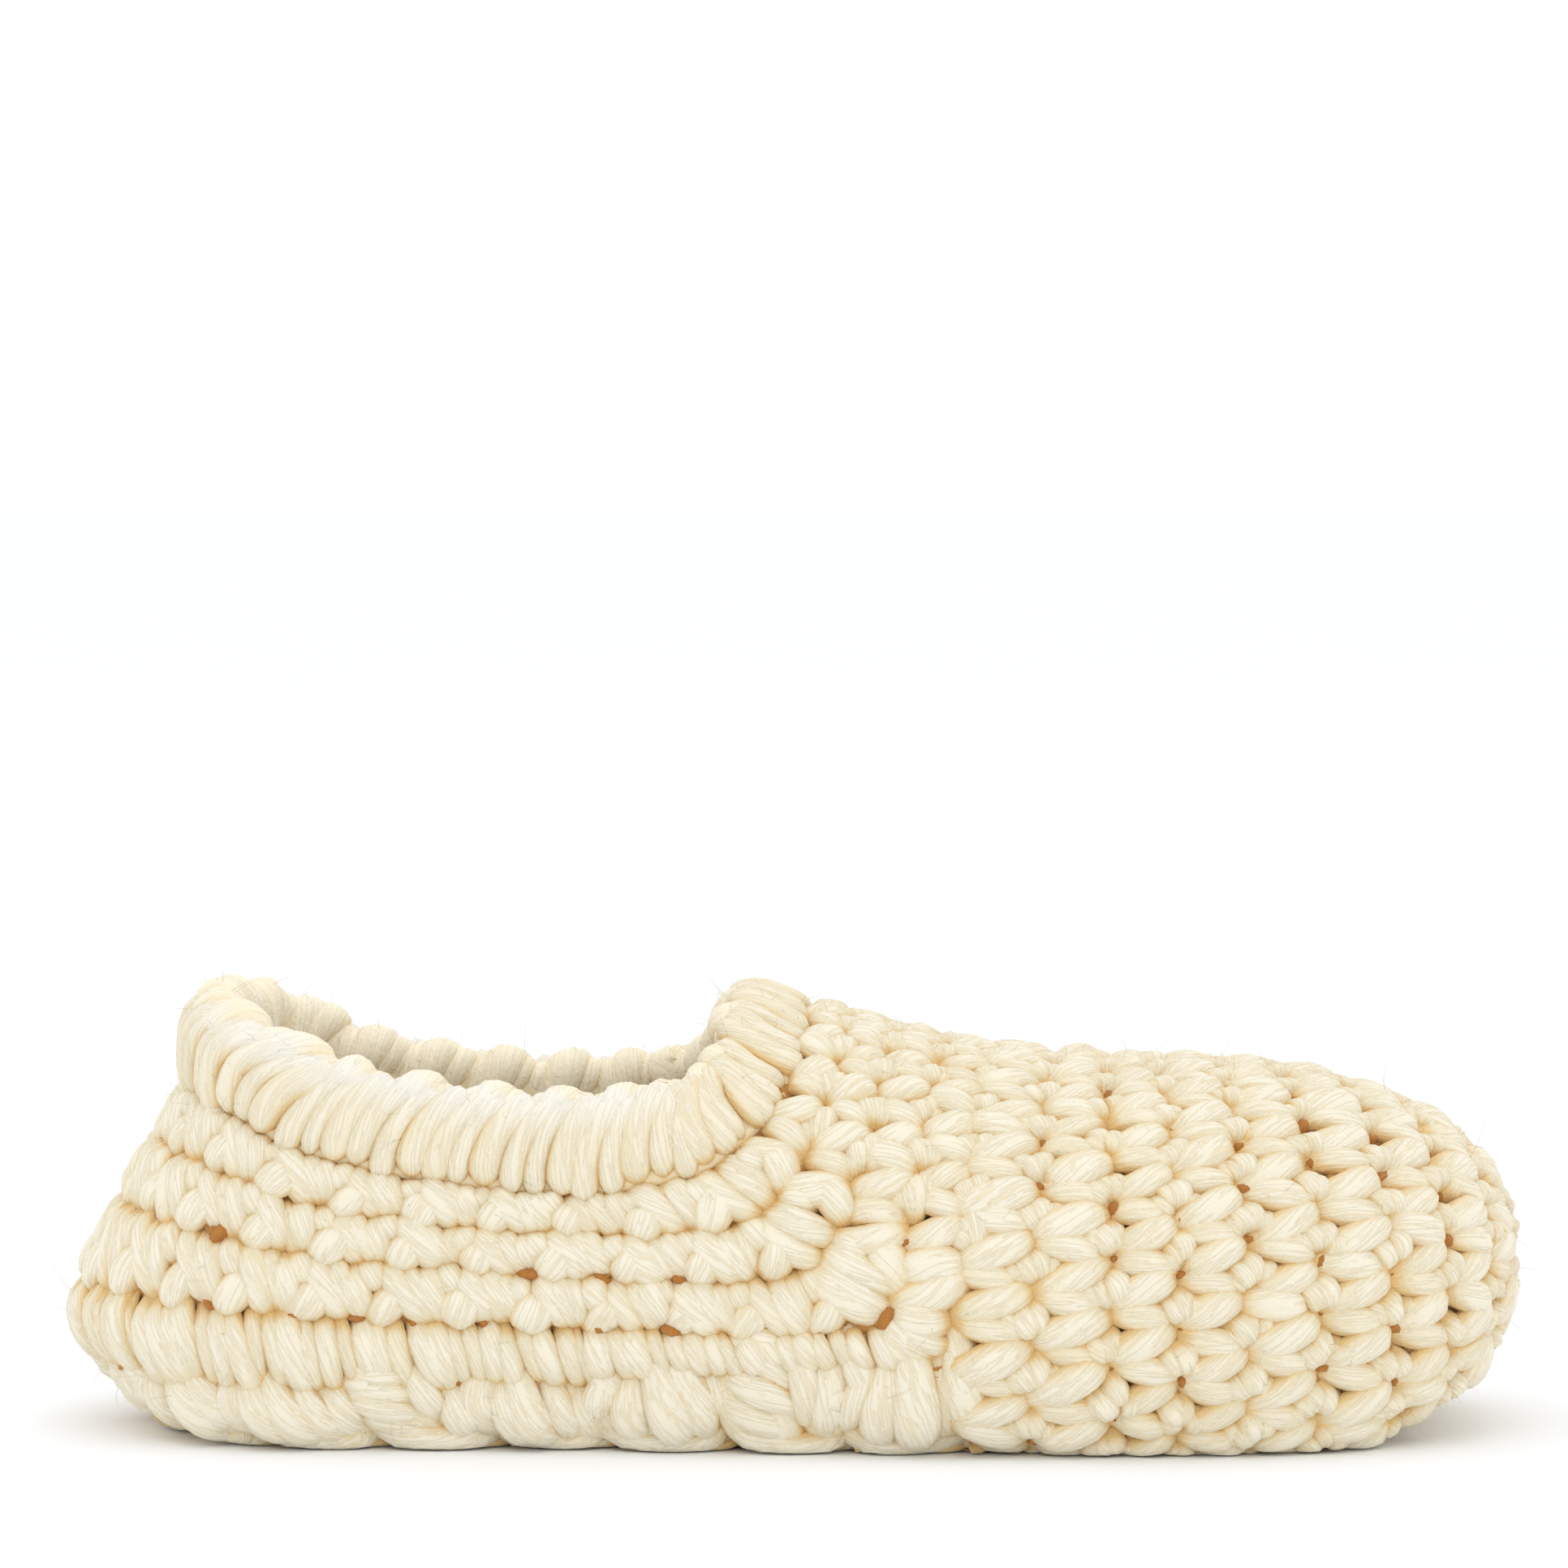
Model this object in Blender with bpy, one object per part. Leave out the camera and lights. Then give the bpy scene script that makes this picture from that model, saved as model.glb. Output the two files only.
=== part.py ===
"""A chunky crocheted slipper sock that stands empty on its sole, with its toe towards +X.

It is an assembly of three pieces: a crocheted upper, a crocheted sole whose edge is turned up to meet
the upper, and a thick wrapped collar round the foot opening. Sizes are in millimetres and are turned into
metres when a mesh is made. The shoe is the same on both sides of its middle plane.
"""

import math

import bmesh
import bpy
import numpy as np

METRES = 0.001

# Main sizes of the last, measured over the crests of the stitches
TOE_X = 125.0
HEEL_X = -125.5
HEEL_CENTRE_X = -85.0
BALL_WIDTH = 94.0
HEEL_WIDTH = 77.0
TOE_HEIGHT = 63.0
TOE_TIP_Z = 28.0
HEEL_BACK_Z = 21.0
WALL = 8.0
JOINT_GAP = 0.3

# Where the ball widens out from the heel, and where the toe begins to close in plan, on top and below
WIDEN_FROM_X = -60.0
WIDEN_TO_X = 45.0
TOE_PLAN_X = 55.0
TOE_TOP_X = 60.0
TOE_UNDER_X = 85.0
TOE_PLAN_POWER = 2.3
TOE_TOP_POWER = 2.4
TOE_UNDER_POWER = 1.8

# Top line of the last from heel to ball. Behind the throat it is the top that the side walls lean towards.
TOP_LINE_X = (-85.0, -45.0, -20.0, -5.0, 2.0, 17.0, 31.0, 45.0, 60.0)
TOP_LINE_Z = (95.0, 95.0, 84.0, 76.0, 73.6, 69.3, 65.9, 63.9, 63.0)

# One cross section: share of the half width that rests on the floor, height of the widest place, roundness
CONTACT_SHARE = 0.8
SIDE_HEIGHT_HEEL = 19.0
SIDE_HEIGHT_TOE = 28.0
SIDE_RISE_FROM_X = 20.0
LOWER_POWER = 2.0
UPPER_POWER_HEEL = 2.0
UPPER_POWER_TOE = 2.2
EDGE_SHARE = 0.63
SECTION_STEPS = 40

# Back line of the heel, as a distance behind the centre of the heel
HEEL_TOP_REACH = 64.0
HEEL_TOP_POWER = 1.15
HEEL_FLOOR_RADIUS = 18.0
HEEL_LOW_POWER = 1.5
HEEL_SWEEP = 38.0

# Slight arch where the sole meets the toe cup, and how far the wool is pressed flat by the floor
ARCH_X = 31.0
ARCH_HALF_LENGTH = 16.0
ARCH_RISE = 2.0
PRESSED = 0.8

# Edge of the foot opening, seen from the side, as distance along the shoe and height
RIM_ALONG = (-144.7, -120.0, -103.6, -95.7, -87.0, -81.0, -75.5, -62.6, -43.0, -29.0, -16.0)
RIM_HEIGHT = (61.0, 59.6, 57.4, 55.4, 52.4, 50.4, 49.0, 46.4, 44.4, 44.9, 47.7)
THROAT_ALONG = (-16.0, -9.7, -5.4, -2.1, 0.0, 1.2, 2.7, 3.5)
THROAT_RISE = (0.0, 0.11, 0.22, 0.31, 0.45, 0.57, 0.78, 1.0)

# Rounds worked round the foot opening, as shares of the wall from the collar down to the sole
OPENING_ROUNDS = (0.0, 0.21, 0.44, 0.71, 1.0)
OPENING_RELIEF = 1.5

# Rounds of the toe cup from its seam to the tip: where each begins at the side, on top and underneath
ROUND_SIDE_X = (29.0, 40.1, 53.6, 65.2, 76.9, 89.3, 102.0, 112.4, 120.4, 124.0)
ROUND_TOP_X = (37.0, 46.1, 54.2, 62.5, 72.9, 83.7, 94.5, 105.5, 116.0, 123.0)
ROUND_UNDER_X = (29.5, 40.5, 53.0, 65.0, 76.0, 87.0, 98.0, 108.0, 117.0, 123.4)
TOE_RELIEF = 1.6

# Sole: rows across the foot, which show at its edge as a line of puffs
SOLE_ROWS = 6
SOLE_RELIEF = 2.2
SOLE_THICKNESS = 8.5

# Collar roll: its size across the wall and along it, how upright it stands at the heel, and its wraps
ROLL_THICKNESS = 13.4
ROLL_HEIGHT = 17.6
THROAT_ROLL_HEIGHT = 15.4
THROAT_SINK = 1.6
HEEL_UPRIGHT = 0.85
HEEL_TAB_LENGTH = 14.0
WRAPS = 26
WRAP_SLANT = 0.8
WRAP_RELIEF = 1.5

# Fineness of the meshes
ROUND_STEPS = 4
HEEL_STATIONS = 8
SIDE_STATIONS = 12
THROAT_STATIONS = 12
UNDER_PLACES = (-1.0, -0.7, -0.42, -0.31, -0.21, -0.1)
SOLE_PLACES = (-0.007, -0.11, -0.21, -0.31, -0.5, -0.75, -1.0)
INNER_ROWS = 5
ROLL_POINTS = 12
ROLL_FINENESS = 8
MERIDIAN_STEPS = 40
NORMAL_STEP = 0.5
NORMAL_SHARE = 0.006
WELD = 1e-4
TINY = 1e-6

UPWARD = np.array((0.0, 0.0, 1.0))
WOOL_COLOUR = (0.85, 0.76, 0.56, 1.0)
WOOL_ROUGHNESS = 0.95


def clear_scene():
    for thing in list(bpy.data.objects):
        bpy.data.objects.remove(thing, do_unlink=True)


def ease(value):
    """A smooth step from 0 to 1."""
    share = min(max(value, 0.0), 1.0)
    return share * share * (3.0 - 2.0 * share)


def bulge(share, power):
    """Height of a rounded end: 1 where it begins and 0 at its tip."""
    inside = 1.0 - min(max(share, 0.0), 1.0) ** power
    return inside ** (1.0 / power)


def smooth_curve(at, xs, ys):
    """A smooth curve through the points of a short table."""
    xs = np.asarray(xs)
    ys = np.asarray(ys)
    slopes = np.gradient(ys, xs)
    i = int(np.clip(np.searchsorted(xs, at) - 1, 0, len(xs) - 2))
    step = xs[i + 1] - xs[i]
    f = min(max((at - xs[i]) / step, 0.0), 1.0)
    start = (1.0 + 2.0 * f) * (1.0 - f) ** 2 * ys[i] + f * (1.0 - f) ** 2 * step * slopes[i]
    end = f * f * (3.0 - 2.0 * f) * ys[i + 1] + f * f * (f - 1.0) * step * slopes[i + 1]
    return float(start + end)


def half_width(x, inset):
    widened = ease((x - WIDEN_FROM_X) / (WIDEN_TO_X - WIDEN_FROM_X))
    width = (HEEL_WIDTH + (BALL_WIDTH - HEEL_WIDTH) * widened) / 2.0 - inset
    return width * bulge((x - TOE_PLAN_X) / (TOE_X - inset - TOE_PLAN_X), TOE_PLAN_POWER)


def top_height(x, inset):
    if x <= TOE_TOP_X:
        return smooth_curve(x, TOP_LINE_X, TOP_LINE_Z) - inset
    rise = TOE_HEIGHT - inset - TOE_TIP_Z
    return TOE_TIP_Z + rise * bulge((x - TOE_TOP_X) / (TOE_X - inset - TOE_TOP_X), TOE_TOP_POWER)


def floor_height(x, inset, lift):
    """Underside of the last: flat, with a spring under the toe."""
    low = lift - PRESSED
    spring = bulge((x - TOE_UNDER_X) / (TOE_X - inset - TOE_UNDER_X), TOE_UNDER_POWER)
    return low + (TOE_TIP_Z - low) * (1.0 - spring)


def arch_height(x):
    return ARCH_RISE * (1.0 - ease(abs(x - ARCH_X) / ARCH_HALF_LENGTH))


def side_height(x):
    rise = ease((x - SIDE_RISE_FROM_X) / (TOE_X - SIDE_RISE_FROM_X))
    return SIDE_HEIGHT_HEEL + (SIDE_HEIGHT_TOE - SIDE_HEIGHT_HEEL) * rise


def half_section(x, inset, lift):
    """Half a cross section from the middle of the floor to the middle of the top, and where its edge is."""
    width = half_width(x, inset)
    contact = CONTACT_SHARE * width
    plain_low = floor_height(x, inset, lift)
    low = plain_low + arch_height(x)
    side = max(side_height(x), low)
    top = max(top_height(x, inset), side)
    power = UPPER_POWER_HEEL + (UPPER_POWER_TOE - UPPER_POWER_HEEL) * ease(x / TOE_UNDER_X)
    turn = np.linspace(0.0, math.pi / 2.0, SECTION_STEPS)
    flat_y = np.linspace(0.0, contact, SECTION_STEPS)[:-1]
    flat_z = np.full(len(flat_y), low)
    low_y = contact + (width - contact) * np.sin(turn) ** (2.0 / LOWER_POWER)
    low_z = side - (side - low) * np.cos(turn) ** (2.0 / LOWER_POWER)
    high_y = width * np.maximum(np.cos(turn[1:]), 0.0) ** (2.0 / power)
    high_z = side + (top - side) * np.sin(turn[1:]) ** (2.0 / power)
    ys = np.concatenate([flat_y, low_y, high_y])
    zs = np.concatenate([flat_z, low_z, high_z])
    edge = plain_low + EDGE_SHARE * (side - plain_low)
    return ys, zs, edge


def section_lengths(ys, zs, edge):
    """Distance of each point round a half section, and that of its edge."""
    lengths = path_lengths(np.stack([ys, zs], axis=1))
    edge_at = float(np.interp(edge, zs[SECTION_STEPS:], lengths[SECTION_STEPS:]))
    return lengths, edge_at


def section_point(x, around, inset, lift):
    """A point of a cross section. Around runs from -1 under the foot, through 0 at the edge, to 1 on top."""
    ys, zs, edge = half_section(x, inset, lift)
    lengths, edge_at = section_lengths(ys, zs, edge)
    if around < 0.0:
        at = edge_at * (1.0 + around)
    else:
        at = edge_at + (lengths[-1] - edge_at) * around
    return float(np.interp(at, lengths, ys)), float(np.interp(at, lengths, zs))


def around_at_height(x, height):
    """The place round a cross section of the outside, above its edge, that lies at a height."""
    ys, zs, edge = half_section(x, 0.0, 0.0)
    lengths, edge_at = section_lengths(ys, zs, edge)
    found = float(np.interp(height, zs[SECTION_STEPS:], lengths[SECTION_STEPS:]))
    return (found - edge_at) / (lengths[-1] - edge_at)


def heel_radius(z, inset):
    """Distance of the back line of the heel behind its centre, at a height."""
    widest = HEEL_CENTRE_X - HEEL_X
    if z >= HEEL_BACK_Z:
        share = min((z - HEEL_BACK_Z) / HEEL_TOP_REACH, 1.0)
        return widest * (1.0 - share**HEEL_TOP_POWER) ** (1.0 / HEEL_TOP_POWER) - inset
    share = min((HEEL_BACK_Z - z) / HEEL_BACK_Z, 1.0)
    grown = (1.0 - share**HEEL_LOW_POWER) ** (1.0 / HEEL_LOW_POWER)
    return HEEL_FLOOR_RADIUS + (widest - HEEL_FLOOR_RADIUS) * grown - inset


def last_point(along, around, inset=0.0, lift=0.0):
    """A point of the last. Behind the centre of the heel, along bends round the heel to its back line."""
    x = max(along, HEEL_CENTRE_X)
    y, z = section_point(x, around, inset, lift)
    if along >= HEEL_CENTRE_X:
        return np.array((x, y, z))
    turn = min((HEEL_CENTRE_X - along) / HEEL_SWEEP, math.pi / 2.0)
    contact = CONTACT_SHARE * half_width(x, inset)
    share = min(y / contact, 1.0) if around < 0.0 else 1.0
    back = heel_radius(z, inset) * share * math.sin(turn)
    return np.array((x - back, y * math.cos(turn), z))


def last_normal(along, around):
    """Outward direction of the last at a place on one of its sides."""
    end = heel_end()
    back = max(along - NORMAL_STEP, end)
    low = max(around - NORMAL_SHARE, -1.0)
    high = min(around + NORMAL_SHARE, 1.0)
    ahead = last_point(along + NORMAL_STEP, around) - last_point(back, around)
    up = last_point(along, high) - last_point(along, low)
    normal = np.cross(up, ahead)
    if along <= end + TINY or around >= 1.0 - TINY or around <= -1.0 + TINY:
        normal[1] = 0.0
    return normal / np.linalg.norm(normal)


def crest(share):
    """Depth of a rounded ridge below its crest: 1 in the valley at either end and 0 in the middle."""
    return 1.0 - abs(math.sin(math.pi * share))


def inner_point(along, around):
    """A point of the inside of the shoe. In the toe cup it is drawn back from the tip by the wall."""
    seam = ROUND_SIDE_X[0]
    if along > seam:
        along = seam + (along - seam) * (TOE_X - WALL - seam) / (TOE_X - seam)
    return last_point(along, around, WALL, SOLE_THICKNESS)


def ridge_point(along, around, depth):
    """A point of the outside, sunk through the wall by the depth of its ridge and kept above the floor."""
    outer = last_point(along, around)
    through = inner_point(along, around) - outer
    moved = outer + through * depth / np.linalg.norm(through)
    moved[2] = max(moved[2], 0.0)
    return moved


def heel_end():
    return HEEL_CENTRE_X - HEEL_SWEEP * math.pi / 2.0


def seam_along(around):
    """The seam of the toe cup, at a place round the foot."""
    return toe_along(0.0, around)


def toe_along(count, around):
    """Distance along the shoe of a round of the toe cup, counted from the seam, at a place round the foot."""
    rounds = np.arange(len(ROUND_SIDE_X))
    side = float(np.interp(count, rounds, ROUND_SIDE_X))
    if around >= 0.0:
        top = float(np.interp(count, rounds, ROUND_TOP_X))
        return side + (top - side) * around**2
    under = float(np.interp(count, rounds, ROUND_UNDER_X))
    return side + (under - side) * around**2


def even_steps(start, end, count):
    """Evenly spaced values from start to just before end."""
    return [start + (end - start) * i / count for i in range(count)]


def opening_stations(fineness):
    """Both ends of each line from the collar to the sole or toe cup: heel, side, then over the throat."""
    stations = []
    corner = RIM_ALONG[-1]
    seam = seam_along(0.0)
    ends = even_steps(heel_end(), HEEL_CENTRE_X, HEEL_STATIONS * fineness)
    ends += even_steps(HEEL_CENTRE_X, seam, SIDE_STATIONS * fineness)
    for end_along in ends + [seam]:
        rim_along = end_along
        if end_along > HEEL_CENTRE_X:
            share = (end_along - HEEL_CENTRE_X) / (seam - HEEL_CENTRE_X)
            rim_along = HEEL_CENTRE_X + (corner - HEEL_CENTRE_X) * share
        height = smooth_curve(rim_along, RIM_ALONG, RIM_HEIGHT)
        rim_around = around_at_height(max(rim_along, HEEL_CENTRE_X), height)
        stations.append((rim_along, rim_around, end_along, 0.0))
    corner_around = stations[-1][1]
    throat_count = THROAT_STATIONS * fineness
    for k in range(1, throat_count + 1):
        share = k / throat_count
        rim_along = smooth_curve(share, THROAT_RISE, THROAT_ALONG)
        rim_around = corner_around + (1.0 - corner_around) * share
        stations.append((rim_along, rim_around, seam_along(share), share))
    return stations


def opening_line(station, shares):
    """Places on one line from the collar, at shares of its length."""
    start = np.array(station[:2])
    end = np.array(station[2:])
    steps = np.linspace(0.0, 1.0, MERIDIAN_STEPS)
    points = np.array([last_point(*(start + (end - start) * f)) for f in steps])
    at = np.interp(np.asarray(shares) * path_lengths(points)[-1], path_lengths(points), steps)
    return [start + (end - start) * f for f in at]


def path_lengths(points):
    steps = np.linalg.norm(np.diff(points, axis=0), axis=1)
    return np.concatenate([[0.0], np.cumsum(steps)])


class Surface:
    """Collects points and faces, and makes points in the same place one."""

    def __init__(self):
        self.points = []
        self.faces = []
        self.found = {}

    def point(self, place):
        key = tuple(int(round(value / WELD)) for value in place)
        if key not in self.found:
            self.found[key] = len(self.points)
            self.points.append(tuple(float(value) * METRES for value in place))
        return self.found[key]

    def face(self, corners):
        kept = []
        for corner in corners:
            index = self.point(corner)
            if index not in kept:
                kept.append(index)
        if len(kept) > 2:
            self.faces.append(kept)

    def strip(self, first, second, closed=False):
        """A row of faces between two lines of points."""
        count = len(first) if closed else len(first) - 1
        for i in range(count):
            j = (i + 1) % len(first)
            self.face((first[i], first[j], second[j], second[i]))

    def sheet(self, lines, closed_lines=False, closed_sheet=False):
        """Faces between neighbouring lines, and from the last to the first where the sheet is closed."""
        following = lines[1:] + lines[:1] if closed_sheet else lines[1:]
        for first, second in zip(lines, following):
            self.strip(first, second, closed_lines)

    def fan(self, ring, tip):
        for first, second in zip(ring, ring[1:] + ring[:1]):
            self.face((first, second, tip))


def mirrored(points):
    return [point * np.array((1.0, -1.0, 1.0)) for point in points]


def full_ring(points):
    """A closed ring from half a ring that begins and ends on the middle plane."""
    return list(points) + mirrored(points)[-2:0:-1]


def full_loop(lines):
    """All lines round the shoe from those of one side, which begin and end on the middle plane."""
    return list(lines) + [mirrored(line) for line in lines[-2:0:-1]]


def across(points):
    """A line on one side that begins on the middle plane, carried on over its mirror image."""
    return mirrored(points)[:0:-1] + list(points)


def make_object(name, surface):
    mesh = bpy.data.meshes.new(name)
    mesh.from_pydata(surface.points, [], surface.faces)
    shape = bmesh.new()
    shape.from_mesh(mesh)
    bmesh.ops.recalc_face_normals(shape, faces=shape.faces)
    shape.to_mesh(mesh)
    shape.free()
    material = bpy.data.materials.new(name + "_wool")
    material.use_nodes = True
    shader = material.node_tree.nodes["Principled BSDF"]
    shader.inputs["Base Color"].default_value = WOOL_COLOUR
    shader.inputs["Roughness"].default_value = WOOL_ROUGHNESS
    shader.inputs["Metallic"].default_value = 0.0
    mesh.materials.append(material)
    made = bpy.data.objects.new(name, mesh)
    bpy.context.scene.collection.objects.link(made)
    return made


def opening_shares():
    """Fine shares of the wall from collar to sole, with the depth of the round that each lies in."""
    shares = []
    depths = []
    for start, end in zip(OPENING_ROUNDS, OPENING_ROUNDS[1:]):
        for step in range(ROUND_STEPS):
            f = step / ROUND_STEPS
            shares.append(start + (end - start) * f)
            depths.append(OPENING_RELIEF * crest(f))
    return shares + [1.0], depths + [OPENING_RELIEF]


def ring_places():
    """Places round half a ring of the toe cup, from under the foot to the top."""
    high = [i / THROAT_STATIONS for i in range(THROAT_STATIONS + 1)]
    return list(UNDER_PLACES) + high


def outer_toe_ring(count):
    depth = TOE_RELIEF * crest(count)
    return [ridge_point(toe_along(count, around), around, depth) for around in ring_places()]


def inner_toe_ring(count):
    return [inner_point(toe_along(count, around), around) for around in ring_places()]


def opening_lines():
    """Outer and inner lines of the wall from the collar down, for one side of the shoe."""
    shares, depths = opening_shares()
    inner_shares = [i / INNER_ROWS for i in range(INNER_ROWS + 1)]
    outer = []
    inner = []
    for station in opening_stations(1):
        places = zip(opening_line(station, shares), depths)
        outer.append([ridge_point(*place, depth) for place, depth in places])
        inner.append([inner_point(*place) for place in opening_line(station, inner_shares)])
    return outer, inner


def build_upper():
    """The toe cup and the rounds of the foot opening, as one wall open at the collar and over the sole."""
    outer, inner = opening_lines()
    last_round = len(ROUND_SIDE_X) - 1
    outer_rings = [outer_toe_ring(i / ROUND_STEPS) for i in range(last_round * ROUND_STEPS + 1)]
    inner_rings = [inner_toe_ring(i) for i in range(last_round + 1)]
    corner = HEEL_STATIONS + SIDE_STATIONS
    for lines, rings in ((outer, outer_rings), (inner, inner_rings)):
        for k in range(THROAT_STATIONS + 1):
            lines[corner + k][-1] = rings[0][len(UNDER_PLACES) + k]
    surface = Surface()
    for lines, rings, tip_x in ((outer, outer_rings, TOE_X), (inner, inner_rings, TOE_X - WALL)):
        surface.sheet(full_loop(lines), closed_sheet=True)
        surface.sheet([full_ring(ring) for ring in rings], closed_lines=True)
        surface.fan(full_ring(rings[-1]), np.array((tip_x, 0.0, TOE_TIP_Z)))
    rims = [[line[0] for line in full_loop(lines)] for lines in (outer, inner)]
    surface.strip(rims[0], rims[1], closed=True)
    sides = [across([line[-1] for line in lines[: corner + 1]]) for lines in (outer, inner)]
    surface.strip(sides[0], sides[1])
    unders = [across(rings[0][: len(UNDER_PLACES) + 1]) for rings in (outer_rings, inner_rings)]
    surface.strip(unders[0], unders[1])
    return make_object("upper", surface)


def sole_stations():
    """Distances along the sole from its front edge to the back of the heel. None stands for the front edge."""
    sides = even_steps(seam_along(0.0), HEEL_CENTRE_X, SOLE_ROWS * ROUND_STEPS)
    heel = even_steps(HEEL_CENTRE_X, heel_end(), HEEL_STATIONS)
    return [None] + sides[1:] + heel + [heel_end()]


def sole_lines():
    """Outer and inner lines of the sole from its turned-up edge to the middle, for one side of the shoe."""
    outer = []
    inner = []
    row = (seam_along(0.0) - HEEL_CENTRE_X) / SOLE_ROWS
    for station in sole_stations():
        low_line = []
        high_line = []
        for around in SOLE_PLACES:
            along = seam_along(around) - JOINT_GAP if station is None else station
            depth = SOLE_RELIEF * crest((last_point(along, around)[0] - seam_along(0.0)) / row)
            low_line.append(ridge_point(along, around, depth))
            high_line.append(inner_point(along, around))
        outer.append(low_line)
        inner.append(high_line)
    return outer, inner


def build_sole():
    """The sole from the heel to the toe cup, with its edge turned up all round to the lowest round."""
    outer, inner = sole_lines()
    surface = Surface()
    for lines in (outer, inner):
        surface.sheet(lines)
        surface.sheet([mirrored(line) for line in lines])
    edges = [[line[0] for line in lines] for lines in (outer, inner)]
    surface.strip(edges[0], edges[1])
    surface.strip(mirrored(edges[0]), mirrored(edges[1]))
    surface.strip(outer[0], inner[0])
    surface.strip(mirrored(outer[0]), mirrored(inner[0]))
    return make_object("sole", surface)


def rim_frames():
    """Evenly spaced places round the foot opening, each a point and the direction out of the wall."""
    fine = opening_stations(ROLL_FINENESS)
    places = np.array([station[:2] for station in fine])
    points = np.array([last_point(*place) for place in places])
    lengths = path_lengths(points)
    half_count = WRAPS * ROUND_STEPS // 2
    frames = []
    for i in range(half_count + 1):
        at = lengths[-1] * i / half_count
        along = float(np.interp(at, lengths, places[:, 0]))
        around = float(np.interp(at, lengths, places[:, 1]))
        frames.append([last_point(along, around), last_normal(along, around)])
    return full_loop(frames)


def roll_section(i, frames):
    """One cross section of the collar roll, standing on the edge of the upper."""
    point, normal = frames[i]
    ahead = frames[(i + 1) % len(frames)][0]
    behind = frames[i - 1][0]
    tangent = (ahead - behind) / np.linalg.norm(ahead - behind)
    wall_way = np.cross(tangent, normal)
    wall_way /= np.linalg.norm(wall_way)
    heel_share = HEEL_UPRIGHT * ease((HEEL_CENTRE_X - point[0]) / HEEL_TAB_LENGTH)
    rise = wall_way * (1.0 - heel_share) + UPWARD * heel_share
    rise /= np.linalg.norm(rise)
    outward_way = np.cross(rise, tangent)
    throat_share = ease((point[0] - RIM_ALONG[-1]) / (THROAT_ALONG[-1] - RIM_ALONG[-1]))
    half_height = (ROLL_HEIGHT + (THROAT_ROLL_HEIGHT - ROLL_HEIGHT) * throat_share) / 2.0
    half_thickness = ROLL_THICKNESS / 2.0
    foot = point - normal * (WALL / 2.0 + THROAT_SINK * throat_share)
    section = []
    for j in range(ROLL_POINTS):
        turn = 2.0 * math.pi * j / ROLL_POINTS
        wrap = WRAPS * i / len(frames) - WRAP_SLANT * math.sin(turn) / 2.0
        depth = WRAP_RELIEF * crest(wrap) * ease(1.0 + math.sin(turn))
        outward = (half_thickness - depth) * math.cos(turn)
        upward = half_height + (half_height - depth) * math.sin(turn)
        offset = outward_way * outward + rise * upward
        sunk = max(JOINT_GAP - float(np.dot(offset, wall_way)), 0.0)
        section.append(foot + offset + wall_way * sunk)
    return section


def build_collar():
    """The roll of yarn wrapped slantwise over the edge of the foot opening."""
    frames = rim_frames()
    surface = Surface()
    sections = [roll_section(i, frames) for i in range(len(frames))]
    surface.sheet(sections, closed_lines=True, closed_sheet=True)
    return make_object("collar", surface)


clear_scene()
build_upper()
build_sole()
build_collar()
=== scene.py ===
# %% [markdown]
# # A chunky crocheted slipper sock
#
# The real slipper is worked from one very thick, loosely spun cream wool. Its toe cup is made in rounds,
# more rounds run along the sides and over the instep, the sole is made in rows across the foot, and the
# edge of the foot opening is wrapped over and over into a fat roll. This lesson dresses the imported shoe
# with real strands of yarn: every stitch is a few short tubes that lie on the shape of the last.

import math

import bmesh
import bpy
import numpy as np
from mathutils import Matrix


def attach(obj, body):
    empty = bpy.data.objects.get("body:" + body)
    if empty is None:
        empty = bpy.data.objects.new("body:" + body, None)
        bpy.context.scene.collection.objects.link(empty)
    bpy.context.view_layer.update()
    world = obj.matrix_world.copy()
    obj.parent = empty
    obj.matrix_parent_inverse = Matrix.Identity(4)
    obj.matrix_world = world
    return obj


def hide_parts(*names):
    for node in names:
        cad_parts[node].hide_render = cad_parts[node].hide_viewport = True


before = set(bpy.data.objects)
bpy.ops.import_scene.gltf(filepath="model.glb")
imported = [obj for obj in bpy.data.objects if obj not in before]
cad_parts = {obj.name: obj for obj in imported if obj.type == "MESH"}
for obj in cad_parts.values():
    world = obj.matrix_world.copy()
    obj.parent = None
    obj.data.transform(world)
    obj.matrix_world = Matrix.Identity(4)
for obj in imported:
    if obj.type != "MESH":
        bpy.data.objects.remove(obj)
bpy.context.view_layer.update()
print("nodes", sorted(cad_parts))

# %% [markdown]
# ## Camera
#
# The shoe is seen from its side, from a little above and from far away, and lies low in the picture. The
# picture could be shifted inside the camera. Here the camera is turned up instead, by the angle that
# brings the middle of the shoe to its pixel in the photo.

# %% Camera
MM = 0.001
PHOTO_SIZE = 1932.0
SENSOR_WIDTH = 36.0
CAMERA_DISTANCE = 1100.0
CAMERA_ELEVATION = 7.0
FRAME_WIDTH = 272.6
SHOE_MIDDLE = (0.0, 0.0, 39.0)
SHOE_PIXEL_X = 978.0
SHOE_PIXEL_Y = 1474.0
QUARTER_TURN = math.pi / 2.0


def add_object(name, data):
    """A new object in the scene."""
    made = bpy.data.objects.new(name, data)
    bpy.context.scene.collection.objects.link(made)
    return made


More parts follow.
